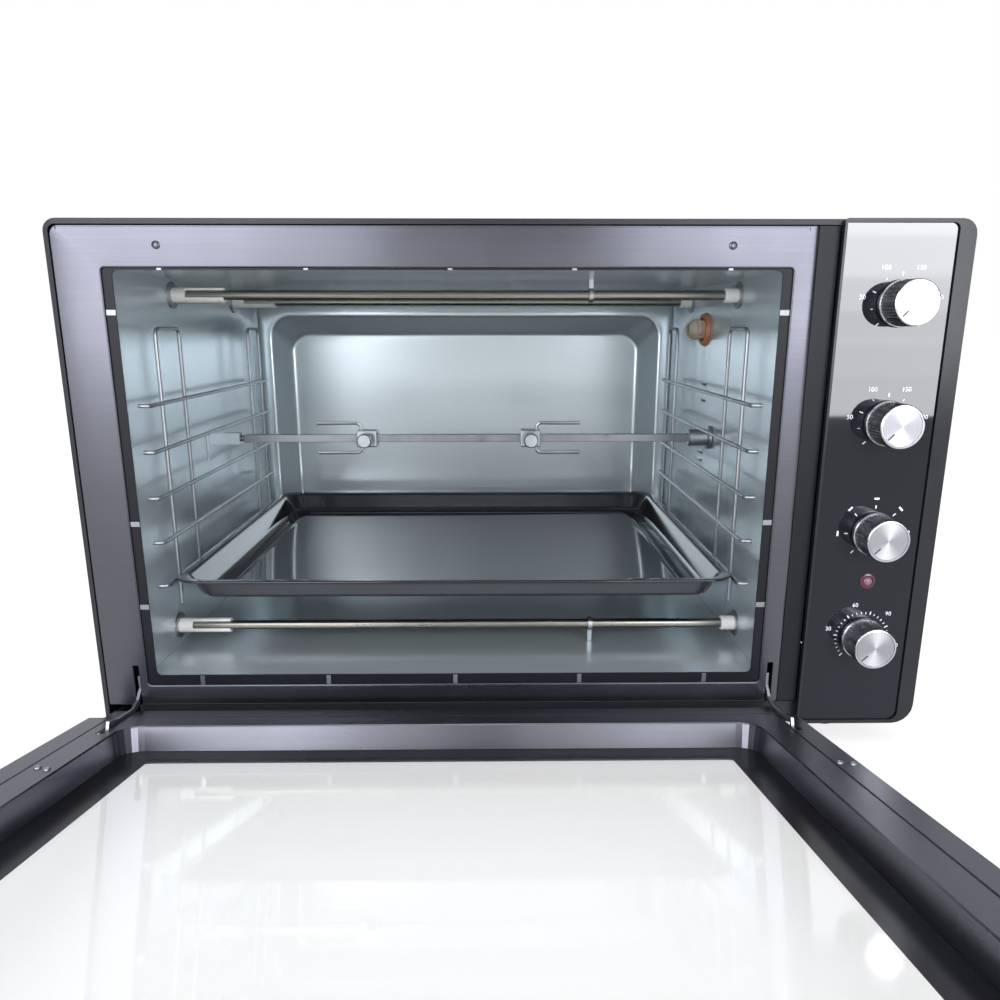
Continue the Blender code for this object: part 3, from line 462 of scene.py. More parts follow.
MARKS = fine_noise_material("printed_marks", (0.62, 0.63, 0.66), (0.55, 0.56, 0.6), 0.5, 200.0)
GLASS_PRINT = enamel("glass_print", (0.010, 0.010, 0.012), (0.013, 0.013, 0.015), 0.2, 500.0, 0.000002)
LENS = fine_noise_material("red_lens", (0.17, 0.09, 0.12), (0.13, 0.06, 0.085), 0.3, 80.0)
LENS_RIM = fine_noise_material("lens_rim", (0.055, 0.006, 0.016), (0.045, 0.004, 0.011), 0.25, 80.0)
DOOR_GLASS = fine_noise_material("door_glass", (1.0, 1.0, 1.0), (0.99, 1.0, 1.0), 0.03, 6.0,
                                 Transmission_Weight=1.0, IOR=1.45)
BULB_GLASS = fine_noise_material("bulb_glass", (0.98, 0.86, 0.70), (0.96, 0.80, 0.62), 0.05, 40.0,
                                 Transmission_Weight=0.85, IOR=1.45)
HANDLE_STEEL = brushed("handle_steel", (0.42, 0.42, 0.44), (0.58, 0.58, 0.6), 0.28)
MICA = fine_noise_material("lamp_rim", (0.50, 0.20, 0.10), (0.36, 0.14, 0.07), 0.4, 120.0)


def dress(material_made, *names):
    """One material, and smooth shading, for CAD nodes."""
    for name in names:
        made = nodes[name]
        made.data.materials.clear()
        made.data.materials.append(material_made)
        made.data.shade_smooth()
        made.data.set_sharp_from_angle(angle=math.radians(33))


def dress_cad_nodes():
    """Materials for every CAD node that stays in view."""
    dress(SHELL_PAINT, "outer_shell", "rear_cover", "door_outer_frame", "base_plate")
    dress(ZINC, "spit_motor", "door_hinge_bar", "hinge_bracket_left", "hinge_bracket_right")
    dress(RUBBER, "foot_front_left", "foot_front_right", "foot_rear_left", "foot_rear_right", "cable_grommet")
    dress(COLLAR, "cavity_collar", "trim_strip")
    dress(BEZEL_GLOSS, "control_bezel")
    dress(PANEL_GLOSS, "control_panel")
    dress(LENS, "indicator_lens")
    dress(BLACK_PLASTIC, "upper_thermostat", "lower_thermostat", "function_switch", "timer")
    dress(CAVITY, "cavity_left_wall", "cavity_right_wall", "cavity_floor", "cavity_ceiling", "cavity_back",
          "spit_bracket")
    dress(HEATER, "heater_upper_front", "heater_upper_rear", "heater_lower_front", "heater_lower_rear")
    dress(CERAMIC, "heater_cap_upper", "heater_cap_lower", "lamp_holder")
    dress(WIRE_CHROME, "heater_hanger_upper", "heater_hanger_lower", "hinge_link_left", "hinge_link_right",
          "thumb_screw_left", "thumb_screw_right", "fork_left", "fork_right", "drive_socket")
    dress(SPIT_STEEL, "spit_rod")
    dress(BULB_GLASS, "lamp_bulb")
    dress(TRAY_ENAMEL, "baking_tray")
    dress(GUNMETAL_DOOR, "door_inner_panel")
    dress(DOOR_GLASS, "door_glass")
    dress(HANDLE_STEEL, "handle_bar", "handle_post_left", "handle_post_right")
    nodes["door_glass"].visible_shadow = False
    for name, width in (("control_bezel", 1.2), ("control_panel", 0.5), ("door_glass", 0.5),
                        ("cavity_collar", 0.3), ("hinge_link_left", 0.4), ("hinge_link_right", 0.4)):
        bevel(nodes[name], width * MM, 2)


# ---------------------------------------------------------------- knobs and panel

KNOB_GRIP = 17.7 * MM
KNOB_FLUTES = 44
KNOB_SIDE = bright("knob_side", (0.52, 0.53, 0.55), 0.22, (0.44, 0.45, 0.47))

# Each dial: number of ticks, sweep in degrees, how often a tick is long, and its numbers
DIALS = {
    "upper_thermostat_knob": (9, 270, 2, ("50", "100", "150", "200")),
    "lower_thermostat_knob": (9, 270, 2, ("50", "100", "150", "200")),
    "function_switch_knob": (6, 225, 1, ()),
    "timer_knob": (31, 300, 5, ("30", "60", "90", "120")),
}
DIAL_START = 225                 # degrees, anticlockwise from the right, where the pointer rests
DIAL_RADIUS = 21.4 * MM
NUMBER_RADIUS = 30.5 * MM


def knob_grip_build(height):
    """A fluted cylinder with small chamfers, standing on the knob's foot."""
    levels = ((0.3 * MM, height - 0.2 * MM), (0, height - 1.2 * MM), (0, 5 * MM), (0.4 * MM, 4.2 * MM))
    count = KNOB_FLUTES * 4

    def build(bm):
        rows = []
        for chamfer, z in levels:
            row = []
            for i in range(count):
                angle = 2 * math.pi * i / count
                radius = KNOB_GRIP - chamfer - (0.45 * MM if i % 4 in (1, 2) else 0)
                row.append(bm.verts.new((radius * math.cos(angle), radius * math.sin(angle), z)))
            rows.append(row)
        for a, b in zip(rows, rows[1:]):
            for i in range(count):
                j = (i + 1) % count
                bm.faces.new((a[j], a[i], b[i], b[j]))
        bm.faces.new(rows[0])
        bm.faces.new(rows[-1][::-1])

    return build


def knobs():
    """Each knob: a spun face in a bright rim, a fluted side, a small foot and a pointer."""
    for name in KNOBS:
        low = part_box(name)[0]
        centre = Vector(JOINTS[f"{name}_turn"]["pos_m"])
        base = PANEL_LOW.y - 0.4 * MM
        height = base - (low.y + 0.9 * MM)
        place = facing_front(centre.x, base, centre.z)
        turned_back = place @ Matrix.Rotation(math.radians(DIAL_START - 90), 4, "Z")
        # The face's colour carries a painted highlight fan: dark away from its axis, pale along it.
        spun_metal_with_painted_highlight = spun(f"{name}_metal", centre, (0.74, 0.74, 0.77), (0.34, 0.34, 0.37), 0.3)
        rim = KNOB_GRIP - 1.1 * MM
        face_profile = ((0, height), (rim * 0.5, height + 0.03 * MM), (rim - 1.1 * MM, height + 0.08 * MM),
                        (rim - 1.1 * MM, height - 1.6 * MM), (0, height - 1.6 * MM))
        rim_profile = ((rim - 1.1 * MM, height - 0.3 * MM), (rim - 0.6 * MM, height + 0.35 * MM),
                       (rim + 0.2 * MM, height + 0.35 * MM), (rim + 0.8 * MM, height - 0.1 * MM),
                       (rim + 0.8 * MM, height - 1.2 * MM), (rim - 1.1 * MM, height - 1.2 * MM))
        foot_profile = ((0, 4.6 * MM), (KNOB_GRIP, 4.6 * MM), (KNOB_GRIP + 0.7 * MM, 4.0 * MM),
                        (KNOB_GRIP + 0.9 * MM, 0.8 * MM), (KNOB_GRIP + 0.3 * MM, 0), (3 * MM, 0),
                        (3 * MM, -24 * MM), (0, -24 * MM))
        pointer_low = (-0.7 * MM, rim * 0.5, height - 1.2 * MM)
        pointer_high = (0.7 * MM, rim - 1.6 * MM, height + 0.25 * MM)
        parts = (
            piece(f"{name}_grip", knob_grip_build(height), KNOB_SIDE, name, 20, place),
            piece(f"{name}_face", turned_build(face_profile, 96), spun_metal_with_painted_highlight, name, 40, place),
            piece(f"{name}_rim", turned_build(rim_profile, 96, ring=True), KNOB_SIDE, name, 40, place),
            piece(f"{name}_foot", turned_build(foot_profile, 96), KNOB_SIDE, name, 30, place),
            bevel(piece(f"{name}_pointer", box_build(pointer_low, pointer_high), BLACK_PLASTIC, name, 30,
                        turned_back), 0.25 * MM, 2),
        )
        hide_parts(name)


def dial_point(centre, degrees, radius, y):
    """A point round a knob's axis, at an angle anticlockwise from the right."""
    angle = math.radians(degrees)
    return Vector((centre.x + radius * math.cos(angle), y, centre.z + radius * math.sin(angle)))


def panel_marks():
    """Printed ticks round each knob, with plain numbers or short bars outside them."""
    face = PANEL_LOW.y - 0.03 * MM
    for name, (count, sweep, long_every, numbers) in DIALS.items():
        centre = Vector(JOINTS[f"{name}_turn"]["pos_m"])
        strokes = []
        for i in range(count):
            angle = DIAL_START - sweep * i / (count - 1)
            length, half_width = (3.0, 0.45) if i % long_every == 0 else (1.9, 0.3)
            strokes.append((angle, DIAL_RADIUS, DIAL_RADIUS + length * MM, half_width))
            if not numbers and i:
                strokes.append((angle, NUMBER_RADIUS - 1.2 * MM, NUMBER_RADIUS + 0.4 * MM, 2.2))
        ticks = piece(f"{name}_ticks", strokes_build(strokes, centre, face), MARKS, "cabinet")
        for i, label in enumerate(numbers):
            angle = DIAL_START - sweep * (i + 1) / (len(numbers) + 1)
            text = bpy.data.curves.new(f"{name}_number_{i}", "FONT")
            text.body = label
            text.size = 5.2 * MM
            text.align_x = "CENTER"
            text.align_y = "CENTER"
            text.extrude = 0.02 * MM
            text.resolution_u = 3
            text.materials.append(MARKS)
            made = bpy.data.objects.new(text.name, text)
            collection.objects.link(made)
            spot = dial_point(centre, angle, NUMBER_RADIUS, face)
            made.matrix_world = Matrix.Translation(spot) @ Matrix.Rotation(math.radians(90), 4, "X")
            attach(made, "cabinet")


def strokes_build(strokes, centre, face):
    """Thin raised bars: each is an angle, two radii and half a width in millimetres."""

    def build(bm):
        for degrees, start, end, half in strokes:
            out = Vector((math.cos(math.radians(degrees)), 0, math.sin(math.radians(degrees))))
            side = Vector((-out.z, 0, out.x)) * half * MM
            rows = []
            for y in (face - 0.03 * MM, face + 0.03 * MM):
                a = dial_point(centre, degrees, start, y)
                b = dial_point(centre, degrees, end, y)
                rows.append([bm.verts.new(corner) for corner in (a - side, b - side, b + side, a + side)])
            near, far = rows
            bm.faces.new(near)
            bm.faces.new(far[::-1])
            for i in range(4):
                j = (i + 1) % 4
                bm.faces.new((near[j], near[i], far[i], far[j]))
        bmesh.ops.recalc_face_normals(bm, faces=bm.faces)

    return build


def indicator_surround():
    """The dark red ring that the power light's lens sits in."""
    low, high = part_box("indicator_lens")
    place = facing_front((low.x + high.x) / 2, PANEL_LOW.y, (low.z + high.z) / 2)
    radius = (high.x - low.x) / 2 + 0.35 * MM
    profile = ((radius, 0.7 * MM), (radius + 1.6 * MM, 0.9 * MM), (radius + 2.4 * MM, 0.4 * MM),
               (radius + 2.4 * MM, 0.05 * MM), (radius, 0.05 * MM))
    made = piece("indicator_surround", turned_build(profile, 48, ring=True), LENS_RIM, "cabinet", 40, place)


# ---------------------------------------------------------------- front frame

def inset(rect, left, bottom, right, top):
    """A rectangle with each side moved in by its own amount."""
    (u0, v0), (u1, v1) = rect
    return (u0 + left, v0 + bottom), (u1 - right, v1 - top)


def carve(made, spans):
    """Cuts boxes, each given by two corners, out of a piece's mesh."""
    cutters = []
    for index, (low, high) in enumerate(spans):
        cutter = piece(f"{made.name}_cutter_{index}", box_build(low, high), body=None)
        step = made.modifiers.new("cut", "BOOLEAN")
        step.object = cutter
        step.solver = "EXACT"
        cutters.append(cutter)
    bpy.context.view_layer.update()
    carved = bpy.data.meshes.new_from_object(made.evaluated_get(bpy.context.evaluated_depsgraph_get()))
    made.modifiers.clear()
    made.data = carved
    for cutter in cutters:
        bpy.data.objects.remove(cutter)
    carved.shade_smooth()
    carved.set_sharp_from_angle(angle=math.radians(35))


def face_plate():
    """The frame's plate: rounded off on its right, grooved along its top, rolled in at the mouth."""
    low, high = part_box("front_frame")
    rect = ((low.x, low.z), (high.x, high.z))
    mouth = ((WALL_LEFT, FLOOR_Z - 8 * MM), (WALL_RIGHT, CEILING_Z))
    face, back = low.y, high.y
    edge = ((0, 0, 0, 0, 1.2), (0, 0, 0.1, 0, 0.9), (0.1, 0.1, 0.9, 0.25, 0.5), (0.3, 0.3, 2.2, 0.55, 0.2),
            (0.6, 0.6, 4.0, 0.9, 0.05), (0.9, 0.9, 6.2, 1.2, 0.0))
    rings = []
    for left, bottom, right, top, depth in edge:
        sides = (left * MM, bottom * MM, right * MM, top * MM)
        rings.append((inset(rect, *sides), (1.3 * MM, 1.3 * MM, 1.3 * MM, 7 * MM), face + depth * MM))
    for spread, depth in ((1.5, 0.0), (0.9, 0.06), (0.4, 0.3), (0.1, 0.7), (0.0, 1.2)):
        rings.append((grow(mouth, spread * MM), (3 + spread) * MM, face + depth * MM))
    made = piece("face_plate", loft_build(rings, closed=True, segments=8), GUNMETAL, "cabinet", 35)
    slots = []
    for side in ("left", "right"):
        link_low, link_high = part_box(f"hinge_link_{side}")
        x = (link_low.x + link_high.x) / 2
        slots.append(((x - 2.6 * MM, face - 5 * MM, low.z - 5 * MM),
                      (x + 2.6 * MM, back + 5 * MM, low.z + 37.5 * MM)))
    groove = ((low.x + 5 * MM, face - 1 * MM, high.z - 3.9 * MM),
              (high.x - 7 * MM, face + 0.8 * MM, high.z - 1.7 * MM))
    carve(made, slots + [groove])
    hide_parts("front_frame")


# ---------------------------------------------------------------- cooking space

def trough_build(inner, outer, start, end, gap_from, gap_to, steps=28):
    """A ring with a gap, swept along Z: the open part of a ceramic heater end."""

    def build(bm):
        rows = []
        for i in range(steps + 1):
            angle = math.radians(gap_to + (360 - gap_to + gap_from) * i / steps)
            out = Vector((math.cos(angle), math.sin(angle), 0))
            spots = (inner, start), (outer, start), (outer, end), (inner, end)
            rows.append([bm.verts.new(out * radius + Vector((0, 0, z))) for radius, z in spots])
        for a, b in zip(rows, rows[1:]):
            for i in range(4):
                j = (i + 1) % 4
                bm.faces.new((a[i], b[i], b[j], a[j]))
        bm.faces.new(rows[0])
        bm.faces.new(rows[-1][::-1])
        bmesh.ops.recalc_face_normals(bm, faces=bm.faces)

    return build


def heater_caps():
    """White glazed ends on all the heating tubes, each in a bright ring on the wall."""
    for level in ("upper", "lower"):
        for end in ("front", "rear"):
            low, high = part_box(f"heater_{level}_{end}")
            y, z = (low.y + high.y) / 2, (low.z + high.z) / 2
            bore = (high.z - low.z) / 2 + 0.15 * MM
            for side, wall, turn in (("left", WALL_LEFT, 90), ("right", WALL_RIGHT, -90)):
                radius = 6.9 * MM
                collar = 14 * MM
                profile = [(bore, collar), (radius - 0.8 * MM, collar), (radius, collar - 0.8 * MM),
                           (radius, -7 * MM), (bore, -7 * MM)]
                place = Matrix.Translation((wall, y, z)) @ Matrix.Rotation(math.radians(turn), 4, "Y")
                cap = piece(f"cap_{level}_{end}_{side}", turned_build(profile, 40, ring=True), CERAMIC,
                            "cabinet", 35, place)
                if side == "left":
                    trough = trough_build(bore, radius, collar - 0.2 * MM, 50 * MM, 207, 290)
                    lip = piece(f"cap_trough_{level}_{end}", trough, CERAMIC, "cabinet", 35, place)
                    bevel(lip, 0.5 * MM, 2)
                    if end == "front":
                        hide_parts(f"heater_cap_{level}")
                hole = radius + 0.3 * MM
                plate_profile = [(hole, 1.4 * MM), (12 * MM, 1.4 * MM), (12.6 * MM, 0.9 * MM),
                                 (12.6 * MM, 0.2 * MM), (hole, 0.2 * MM)]
                plate = piece(f"cap_plate_{level}_{end}_{side}", turned_build(plate_profile, 40, ring=True),
                              WIRE_CHROME, "cabinet", 35, place)


def back_wall():
    """The pressed back wall again, with finer corners and rounded folds."""
    low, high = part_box("cavity_back")
    flange = ((low.x, low.z), (high.x, high.z))
    mouth = ((-306 * MM, 66 * MM + GROUND_TO_BODY), (208 * MM, 364 * MM + GROUND_TO_BODY))
    floor = ((-281 * MM, 93 * MM + GROUND_TO_BODY), (180 * MM, 335 * MM + GROUND_TO_BODY))
    depth = high.y - 1 * MM - low.y
    rings = [(flange, 3 * MM, low.y), (mouth, 30 * MM, low.y)]
    slope = math.radians(58)
    mouth_fold, floor_fold = 6 * MM, 9 * MM
    steps = 7
    for i in range(1, steps + 1):
        angle = slope * i / steps
        run = mouth_fold * math.sin(angle)
        rings.append((grow(mouth, -run), 30 * MM - run, low.y + mouth_fold * (1 - math.cos(angle))))
    for i in range(steps + 1):
        angle = slope * (steps - i) / steps
        run = floor_fold * math.sin(angle)
        rings.append((grow(floor, run), 20 * MM + run, low.y + depth - floor_fold * (1 - math.cos(angle))))
    made = piece("back_wall", loft_build(rings, capped=True, segments=14), CAVITY, "cabinet", 50)
    sheet(made, 0.9 * MM)
    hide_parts("cavity_back")


def tray():
    """The tray with a rolled rim, generous corners and a raised rib round its bottom."""
    low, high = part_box("baking_tray")
    rect = ((low.x, low.y), (high.x, high.y))
    top = high.z - 0.3 * MM
    bottom = low.z + 0.9 * MM
    # How far in from the edge, and how far above the rim's flat, in millimetres, from the outside in
    shape = ((0.9, -1.5), (0.2, -1.0), (0.0, -0.5), (0.3, -0.1), (1.2, 0.15), (3.0, 0.15), (7.0, -0.1),
             (8.8, -0.5), (10.2, -1.6), (11.0, -3.0), (17.4, -16.6), (18.6, -18.4), (20.4, -19.7),
             (22.8, -20.1), (34.0, -20.1), (35.5, -19.5), (37.5, -19.5), (39.0, -20.1))
    scale = (top - bottom) / (20.25 * MM)
    loops = [(grow(rect, -run * MM), max(24 - run * 0.42, 8) * MM, top + z * MM * scale) for run, z in shape]
    made = piece("tray_pan", loft_build(loops, plane="top", capped=True, segments=14), TRAY_ENAMEL,
                 "baking_tray", 60)
    sheet(made, 0.7 * MM)
    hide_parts("baking_tray")


def side_ladders():
    """The wire ladders with smooth bends, in the CAD wires' places."""
    for name, side in (("side_rack_left", -1), ("side_rack_right", 1)):
        low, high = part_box(name)
        radius = 1.7 * MM
        wall = WALL_LEFT if side < 0 else WALL_RIGHT
        rung_x = (high.x if side < 0 else low.x) + side * radius
        upright_x = rung_x + side * 2.4 * MM
        end_x = wall - side * 11 * MM
        front = low.y + 1.7 * MM
        back = high.y - 1.7 * MM
        foot = low.z
        top = high.z - radius
        pairs = ((front + 30 * MM, front + 79 * MM), (back - 56 * MM, back - 16 * MM))
        for index, (near, far) in enumerate(pairs):
            path = ((upright_x, near, foot), (upright_x, near, top),
                    (upright_x, far, top), (upright_x, far, foot))
            made = wire(f"{name}_hoop_{index}", path, radius, WIRE_CHROME, rounding=8 * MM)
            if index == 0:
                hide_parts(name)
        levels = [FLOOR_Z - 46 * MM + z for z in (124.9 * MM, 164 * MM, 203.2 * MM, 243 * MM, 282 * MM)]
        for index, z in enumerate(levels):
            path = ((end_x, front, z), (rung_x, front, z), (rung_x, back, z), (end_x, back, z))
            made = wire(f"{name}_rung_{index}", path, radius, WIRE_CHROME, rounding=4 * MM)


def small_hardware():
    """Screw heads on the frame and door, and the bright tabs that hold the mouth's collar."""
    def screw(name, radius, height, matrix, body, finish):
        profile = ((0, height * 0.55), (radius * 0.35, height * 0.6), (radius * 0.45, height),
                   (radius * 0.8, height * 0.85), (radius, height * 0.35), (radius, 0), (0, 0))
        made = piece(name, turned_build(profile, 28), finish, body, 45, matrix)

    frame_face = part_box("front_frame")[0].y
    for index, x in enumerate((-0.274, 0.173)):
        spot = facing_front(x, frame_face, GROUND_TO_BODY + 0.4076)
        screw(f"frame_screw_{index}", 3.2 * MM, 1.1 * MM, spot, "cabinet", GUNMETAL)
    tab_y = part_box("cavity_collar")[0].y
    tabs = [("bottom", x, FLOOR_Z - 4 * MM, 1.9, 4.2) for x in (-0.271, -0.160, -0.048, 0.062, 0.173)]
    tabs += [("top", x, CEILING_Z - 0.8 * MM, 1.9, 0.9) for x in (-0.274, -0.160, -0.0475, 0.050, 0.173)]
    for z in (0.357, 0.1845, 0.1107):
        tabs.append(("left", WALL_LEFT + 4 * MM, GROUND_TO_BODY + z, 3.8, 2.2))
        tabs.append(("right", WALL_RIGHT - 4 * MM, GROUND_TO_BODY + z, 3.8, 2.2))
    for index, (edge, x, z, half_width, half_height) in enumerate(tabs):
        low = (x - half_width * MM, tab_y - 0.6 * MM, z - half_height * MM)
        high = (x + half_width * MM, tab_y - 0.05 * MM, z + half_height * MM)
        made = piece(f"collar_tab_{edge}_{index}", box_build(low, high), TAB_STEEL, "cabinet")
        bevel(made, 0.2 * MM, 2)
    place = door_place()
    for side, offsets in (("left", (-0.333, -0.325)), ("right", (0.230, 0.238))):
        for index, x in enumerate(offsets):
            spot = place @ Matrix.Translation((x, 16.3 * MM, 0.125 + index * 3 * MM))
            spot = spot @ Matrix.Rotation(math.radians(-90), 4, "X")
            screw(f"door_screw_{side}_{index}", 2.6 * MM, 1.3 * MM, spot, "door", WIRE_CHROME)


def rear_sill():
    """A folded strip under the rear cover, from side to side of the shell."""
    low = (SHELL_LOW.x + 1.5 * MM, SHELL_HIGH.y - 6 * MM, SHELL_LOW.z + 0.2 * MM)
    high = (SHELL_HIGH.x - 1.5 * MM, SHELL_HIGH.y - 0.3 * MM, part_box("rear_cover")[0].z + 1 * MM)
    bevel(piece("rear_sill", box_build(low, high), SHELL_PAINT, "cabinet"), 0.8 * MM, 2)


def stamped_slots():
    """Two banks of small louvres stamped in the right wall, over and under the spit's socket; a black block
    in each slot paints the shade inside it.
    """
    centre_y = FRONT_Y + 0.228
    for bank, z in enumerate((0.276, 0.200)):
        for row in range(3):
            centre_z = GROUND_TO_BODY + z + (row - 1) * 9 * MM
            low = (WALL_RIGHT - 0.2 * MM, centre_y - 9 * MM, centre_z - 1.6 * MM)
            high = (WALL_RIGHT + 0.3 * MM, centre_y + 9 * MM, centre_z + 1.6 * MM)
            # Painted shade: a thin black block stands in for the dark inside the slot.
            hole = piece(f"louvre_hole_{bank}_{row}", box_build(low, high), BLACK_PLASTIC, "cabinet")
            low = (WALL_RIGHT - 3.2 * MM, centre_y - 9 * MM, centre_z + 1.2 * MM)
            high = (WALL_RIGHT + 0.2 * MM, centre_y + 9 * MM, centre_z + 2.2 * MM)
            hood = piece(f"louvre_hood_{bank}_{row}", box_build(low, high), CAVITY, "cabinet")
            bevel(hood, 0.4 * MM, 2)


def body_screws():
    """Cross-head screws round the rear cover and near the back of the side skins."""
    low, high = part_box("rear_cover")
    flange_y = low.y + 1 * MM
    margin = 11 * MM
    rows = (low.z + margin, (low.z + high.z) / 2, high.z - margin)
    columns = (low.x + margin, (low.x + high.x) / 2, high.x - margin)
    spots = [(x, z) for x in columns for z in rows if (x, z) != (columns[1], rows[1])]
    for index, (x, z) in enumerate(spots):
        place = Matrix.Translation((x, flange_y, z)) @ Matrix.Rotation(math.radians(-90), 4, "X")
        cross_screw(f"rear_screw_{index}", place)
    for side, x, turn in (("left", SHELL_LOW.x, -90), ("right", SHELL_HIGH.x, 90)):
        for level, z in enumerate((SHELL_LOW.z + 60 * MM, SHELL_HIGH.z - 60 * MM)):
            place = Matrix.Translation((x, SHELL_HIGH.y - 12 * MM, z))
            place = place @ Matrix.Rotation(math.radians(turn), 4, "Y")
            place = place @ Matrix.Translation((0, 0, -1.3 * MM))
            cross_screw(f"side_screw_{side}_0_{level}", place)


def cross_screw(name, place, radius=3.4 * MM, height=1.3 * MM):
    """A domed screw head with a cross cut in it."""
    profile = ((0, height), (radius * 0.45, height * 0.96), (radius * 0.8, height * 0.72),
               (radius, height * 0.25), (radius, 0), (0, 0))
    made = piece(name, turned_build(profile, 32), ZINC, "cabinet", 45)
    arm, wide = radius * 0.55, radius * 0.13
    depth = height * 0.45
    over = height * 2
    carve(made, (((-arm, -wide, depth), (arm, wide, over)), ((-wide, -arm, depth), (wide, arm, over))))
    made.data.transform(place)


def glass_border():
    """The black printed band round the door's glass, on its inner side."""
    outer = ((-0.316, 0.036), (0.203, 0.379))
    inner = ((-0.286, 0.056), (0.174, 0.358))
    face = -3.62 * MM
    under = face - 0.05 * MM
    loops = [(outer, 15 * MM, face), (inner, 3 * MM, face), (inner, 3 * MM, under), (outer, 15 * MM, under)]
    made = piece("glass_border", loft_build(loops, flip=True, closed=True, segments=8), GLASS_PRINT,
                 "door", 30, door_place())


def lamp_parts():
    """A rim round the lamp on the right wall."""
    low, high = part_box("lamp_bulb")
    y, z = (low.y + high.y) / 2, (low.z + high.z) / 2
    place = Matrix.Translation((WALL_RIGHT, y, z)) @ Matrix.Rotation(math.radians(-90), 4, "Y")
    profile = [(13 * MM, 4 * MM), *arc(1.2 * MM, 15.6 * MM, 4.4 * MM), (17.8 * MM, 1.2 * MM),
               (18.2 * MM, 0.2 * MM), (13 * MM, 0.2 * MM)]
    rim = piece("lamp_rim", turned_build(profile, 56, ring=True), MICA, "cabinet", 40, place)


# ---------------------------------------------------------------- studio

FLOOR_GLOW = 1.2                 # strength of the floor's own light
FLOOR_GLOW_SHARE = 0.68
WORLD_FILL = 0.95                # lights matt surfaces
WORLD_MIRRORED = 0.28            # what glossy surfaces reflect from the front
WORLD_BEHIND = 0.6               # what they reflect from the back
# Name, place, size and power of each soft box; all but the top one face along +Y
SOFT_BOXES = (
    ("left_box", (-1.05, -1.75, 0.82), (1.25, 1.2), 29),
    ("right_box", (1.0, -1.75, 0.82), (1.15, 1.2), 27),
    ("panel_box_0", (1.22, -1.74, 0.16), (0.62, 0.12), 4.61),
    ("panel_box_1", (1.22, -1.74, 0.27), (0.62, 0.1), 2.85),
    ("panel_box_2", (1.22, -1.74, 0.37), (0.62, 0.1), 3.16),
    ("panel_box_3", (1.22, -1.74, 0.47), (0.62, 0.1), 3.84),
    ("panel_box_4", (1.22, -1.74, 0.58), (0.62, 0.12), 5.95),
    ("panel_box_5", (1.22, -1.74, 0.73), (0.62, 0.18), 10.94),
    ("top_box", (0, -0.3, 2.3), (2.6, 2.2), 22),
)
BOX_TINT = (0.95, 0.96, 1.0)


def white_floor():
    """A wide pale floor that glows a little, so that it stays white."""
    floor_material = material("floor_white", (0.90, 0.90, 0.90), 0.7, Specular_IOR_Level=0.05)
    graph = Graph(floor_material)
    grain = graph.noise(graph.coords(), 3.0, 2)
    graph.colour(graph.blend(graph.spread(grain, 0, 1), (0.89, 0.89, 0.90), (0.91, 0.91, 0.91)))
    glow = graph.add("ShaderNodeEmission")
    glow.inputs["Strength"].default_value = FLOOR_GLOW
    lifted = graph.add("ShaderNodeMixShader")
    lifted.inputs[0].default_value = FLOOR_GLOW_SHARE
    graph.link(graph.shader.outputs["BSDF"], lifted.inputs[1])
    graph.link(glow.outputs["Emission"], lifted.inputs[2])
    graph.link(lifted.outputs["Shader"], graph.tree.nodes["Material Output"].inputs["Surface"])

    def floor_build(bm):
        bmesh.ops.create_grid(bm, x_segments=1, y_segments=1, size=40)

    floor = piece("floor", floor_build, floor_material, None)
    return floor


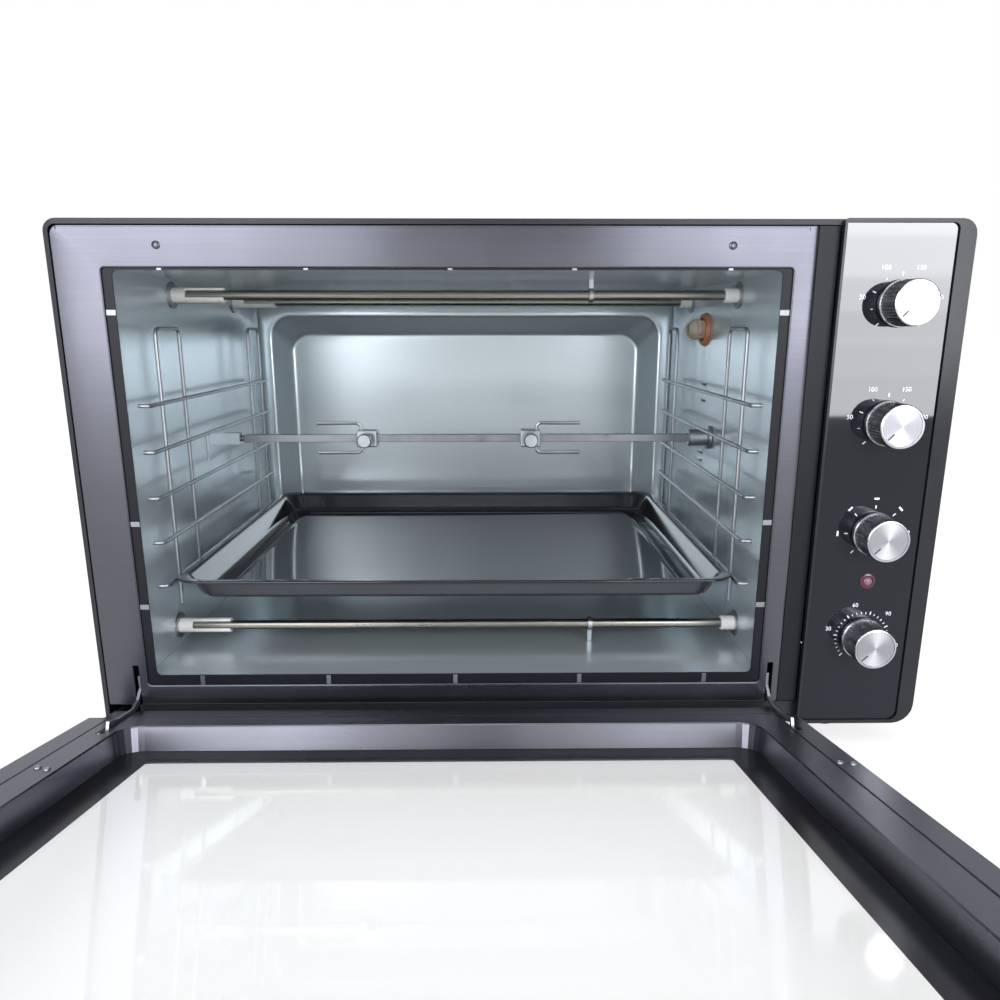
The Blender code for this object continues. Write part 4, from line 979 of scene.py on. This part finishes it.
def studio_world():
    """White to the camera, a soft fill for matt surfaces and a dim room for glossy ones."""
    world = bpy.data.worlds.new("studio")
    bpy.context.scene.world = world
    world.use_nodes = True
    tree = world.node_tree
    tree.nodes.clear()

    def background(colour, strength):
        made = tree.nodes.new("ShaderNodeBackground")
        made.inputs["Color"].default_value = (*colour, 1)
        made.inputs["Strength"].default_value = strength
        return made.outputs[0]

    def choose(factor, first, second):
        mix = tree.nodes.new("ShaderNodeMixShader")
        tree.links.new(factor, mix.inputs[0])
        tree.links.new(first, mix.inputs[1])
        tree.links.new(second, mix.inputs[2])
        return mix.outputs[0]

    direction = tree.nodes.new("ShaderNodeTexCoord")
    split = tree.nodes.new("ShaderNodeSeparateXYZ")
    tree.links.new(direction.outputs["Generated"], split.inputs[0])
    ramp = tree.nodes.new("ShaderNodeMapRange")
    ramp.inputs["From Min"].default_value = 0.1
    ramp.inputs["From Max"].default_value = 0.7
    tree.links.new(split.outputs["Y"], ramp.inputs["Value"])
    room = choose(ramp.outputs["Result"], background((0.86, 0.90, 1.0), WORLD_MIRRORED),
                  background((0.90, 0.92, 1.0), WORLD_BEHIND))
    rays = tree.nodes.new("ShaderNodeLightPath")
    light = choose(rays.outputs["Is Glossy Ray"], background((0.97, 0.98, 1.0), WORLD_FILL), room)
    out = tree.nodes.new("ShaderNodeOutputWorld")
    tree.links.new(choose(rays.outputs["Is Camera Ray"], light, background((1, 1, 1), 1.0)),
                   out.inputs["Surface"])


def soft_boxes(floor):
    """The boxes in front spare the floor; the panel's own light only the panel, its light and knobs."""
    spared = bpy.data.collections.new("spared_from_boxes")
    spared.objects.link(floor)
    spared.collection_objects[0].light_linking.link_state = "EXCLUDE"
    mirrors = bpy.data.collections.new("lit_by_panel_box")
    for made in [nodes["control_panel"], nodes["indicator_lens"], *collection.objects]:
        if made.name.startswith(("control_", "indicator_", *KNOBS)) and not made.name.endswith("_face"):
            mirrors.objects.link(made)
    for name, place, size, power in SOFT_BOXES:
        lamp = bpy.data.lights.new(name, "AREA")
        lamp.shape = "RECTANGLE"
        lamp.size, lamp.size_y = size
        lamp.energy = power
        lamp.color = BOX_TINT
        made = bpy.data.objects.new(name, lamp)
        bpy.context.scene.collection.objects.link(made)
        made.location = place
        made.visible_camera = False
        if name != "top_box":
            made.rotation_euler.x = math.radians(90)
            only_panel = name.startswith("panel_box")
            made.light_linking.receiver_collection = mirrors if only_panel else spared


CAMERA_PLACE = (-0.0155, -0.6023, 0.3435)
CAMERA_PITCH = math.radians(12.94)
CAMERA_YAW = math.radians(0.67)
CAMERA_LENS = 26.607


def camera():
    """The photo's camera, placed from the oven's front and the shell's lowest edge."""
    data = bpy.data.cameras.new("camera")
    data.lens = CAMERA_LENS
    data.sensor_width = 36
    data.clip_start = 0.01
    made = bpy.data.objects.new("camera", data)
    bpy.context.scene.collection.objects.link(made)
    made.location = Vector(CAMERA_PLACE) + Vector((0, FRONT_Y, GROUND_TO_BODY))
    made.rotation_euler = (math.radians(90) - CAMERA_PITCH, 0, -CAMERA_YAW)
    bpy.context.scene.camera = made
    bpy.context.scene.view_settings.view_transform = "Standard"


camera()
dress_cad_nodes()
knobs()
panel_marks()
indicator_surround()
face_plate()
heater_caps()
back_wall()
tray()
side_ladders()
small_hardware()
rear_sill()
stamped_slots()
body_screws()
glass_border()
lamp_parts()
studio_world()
soft_boxes(white_floor())
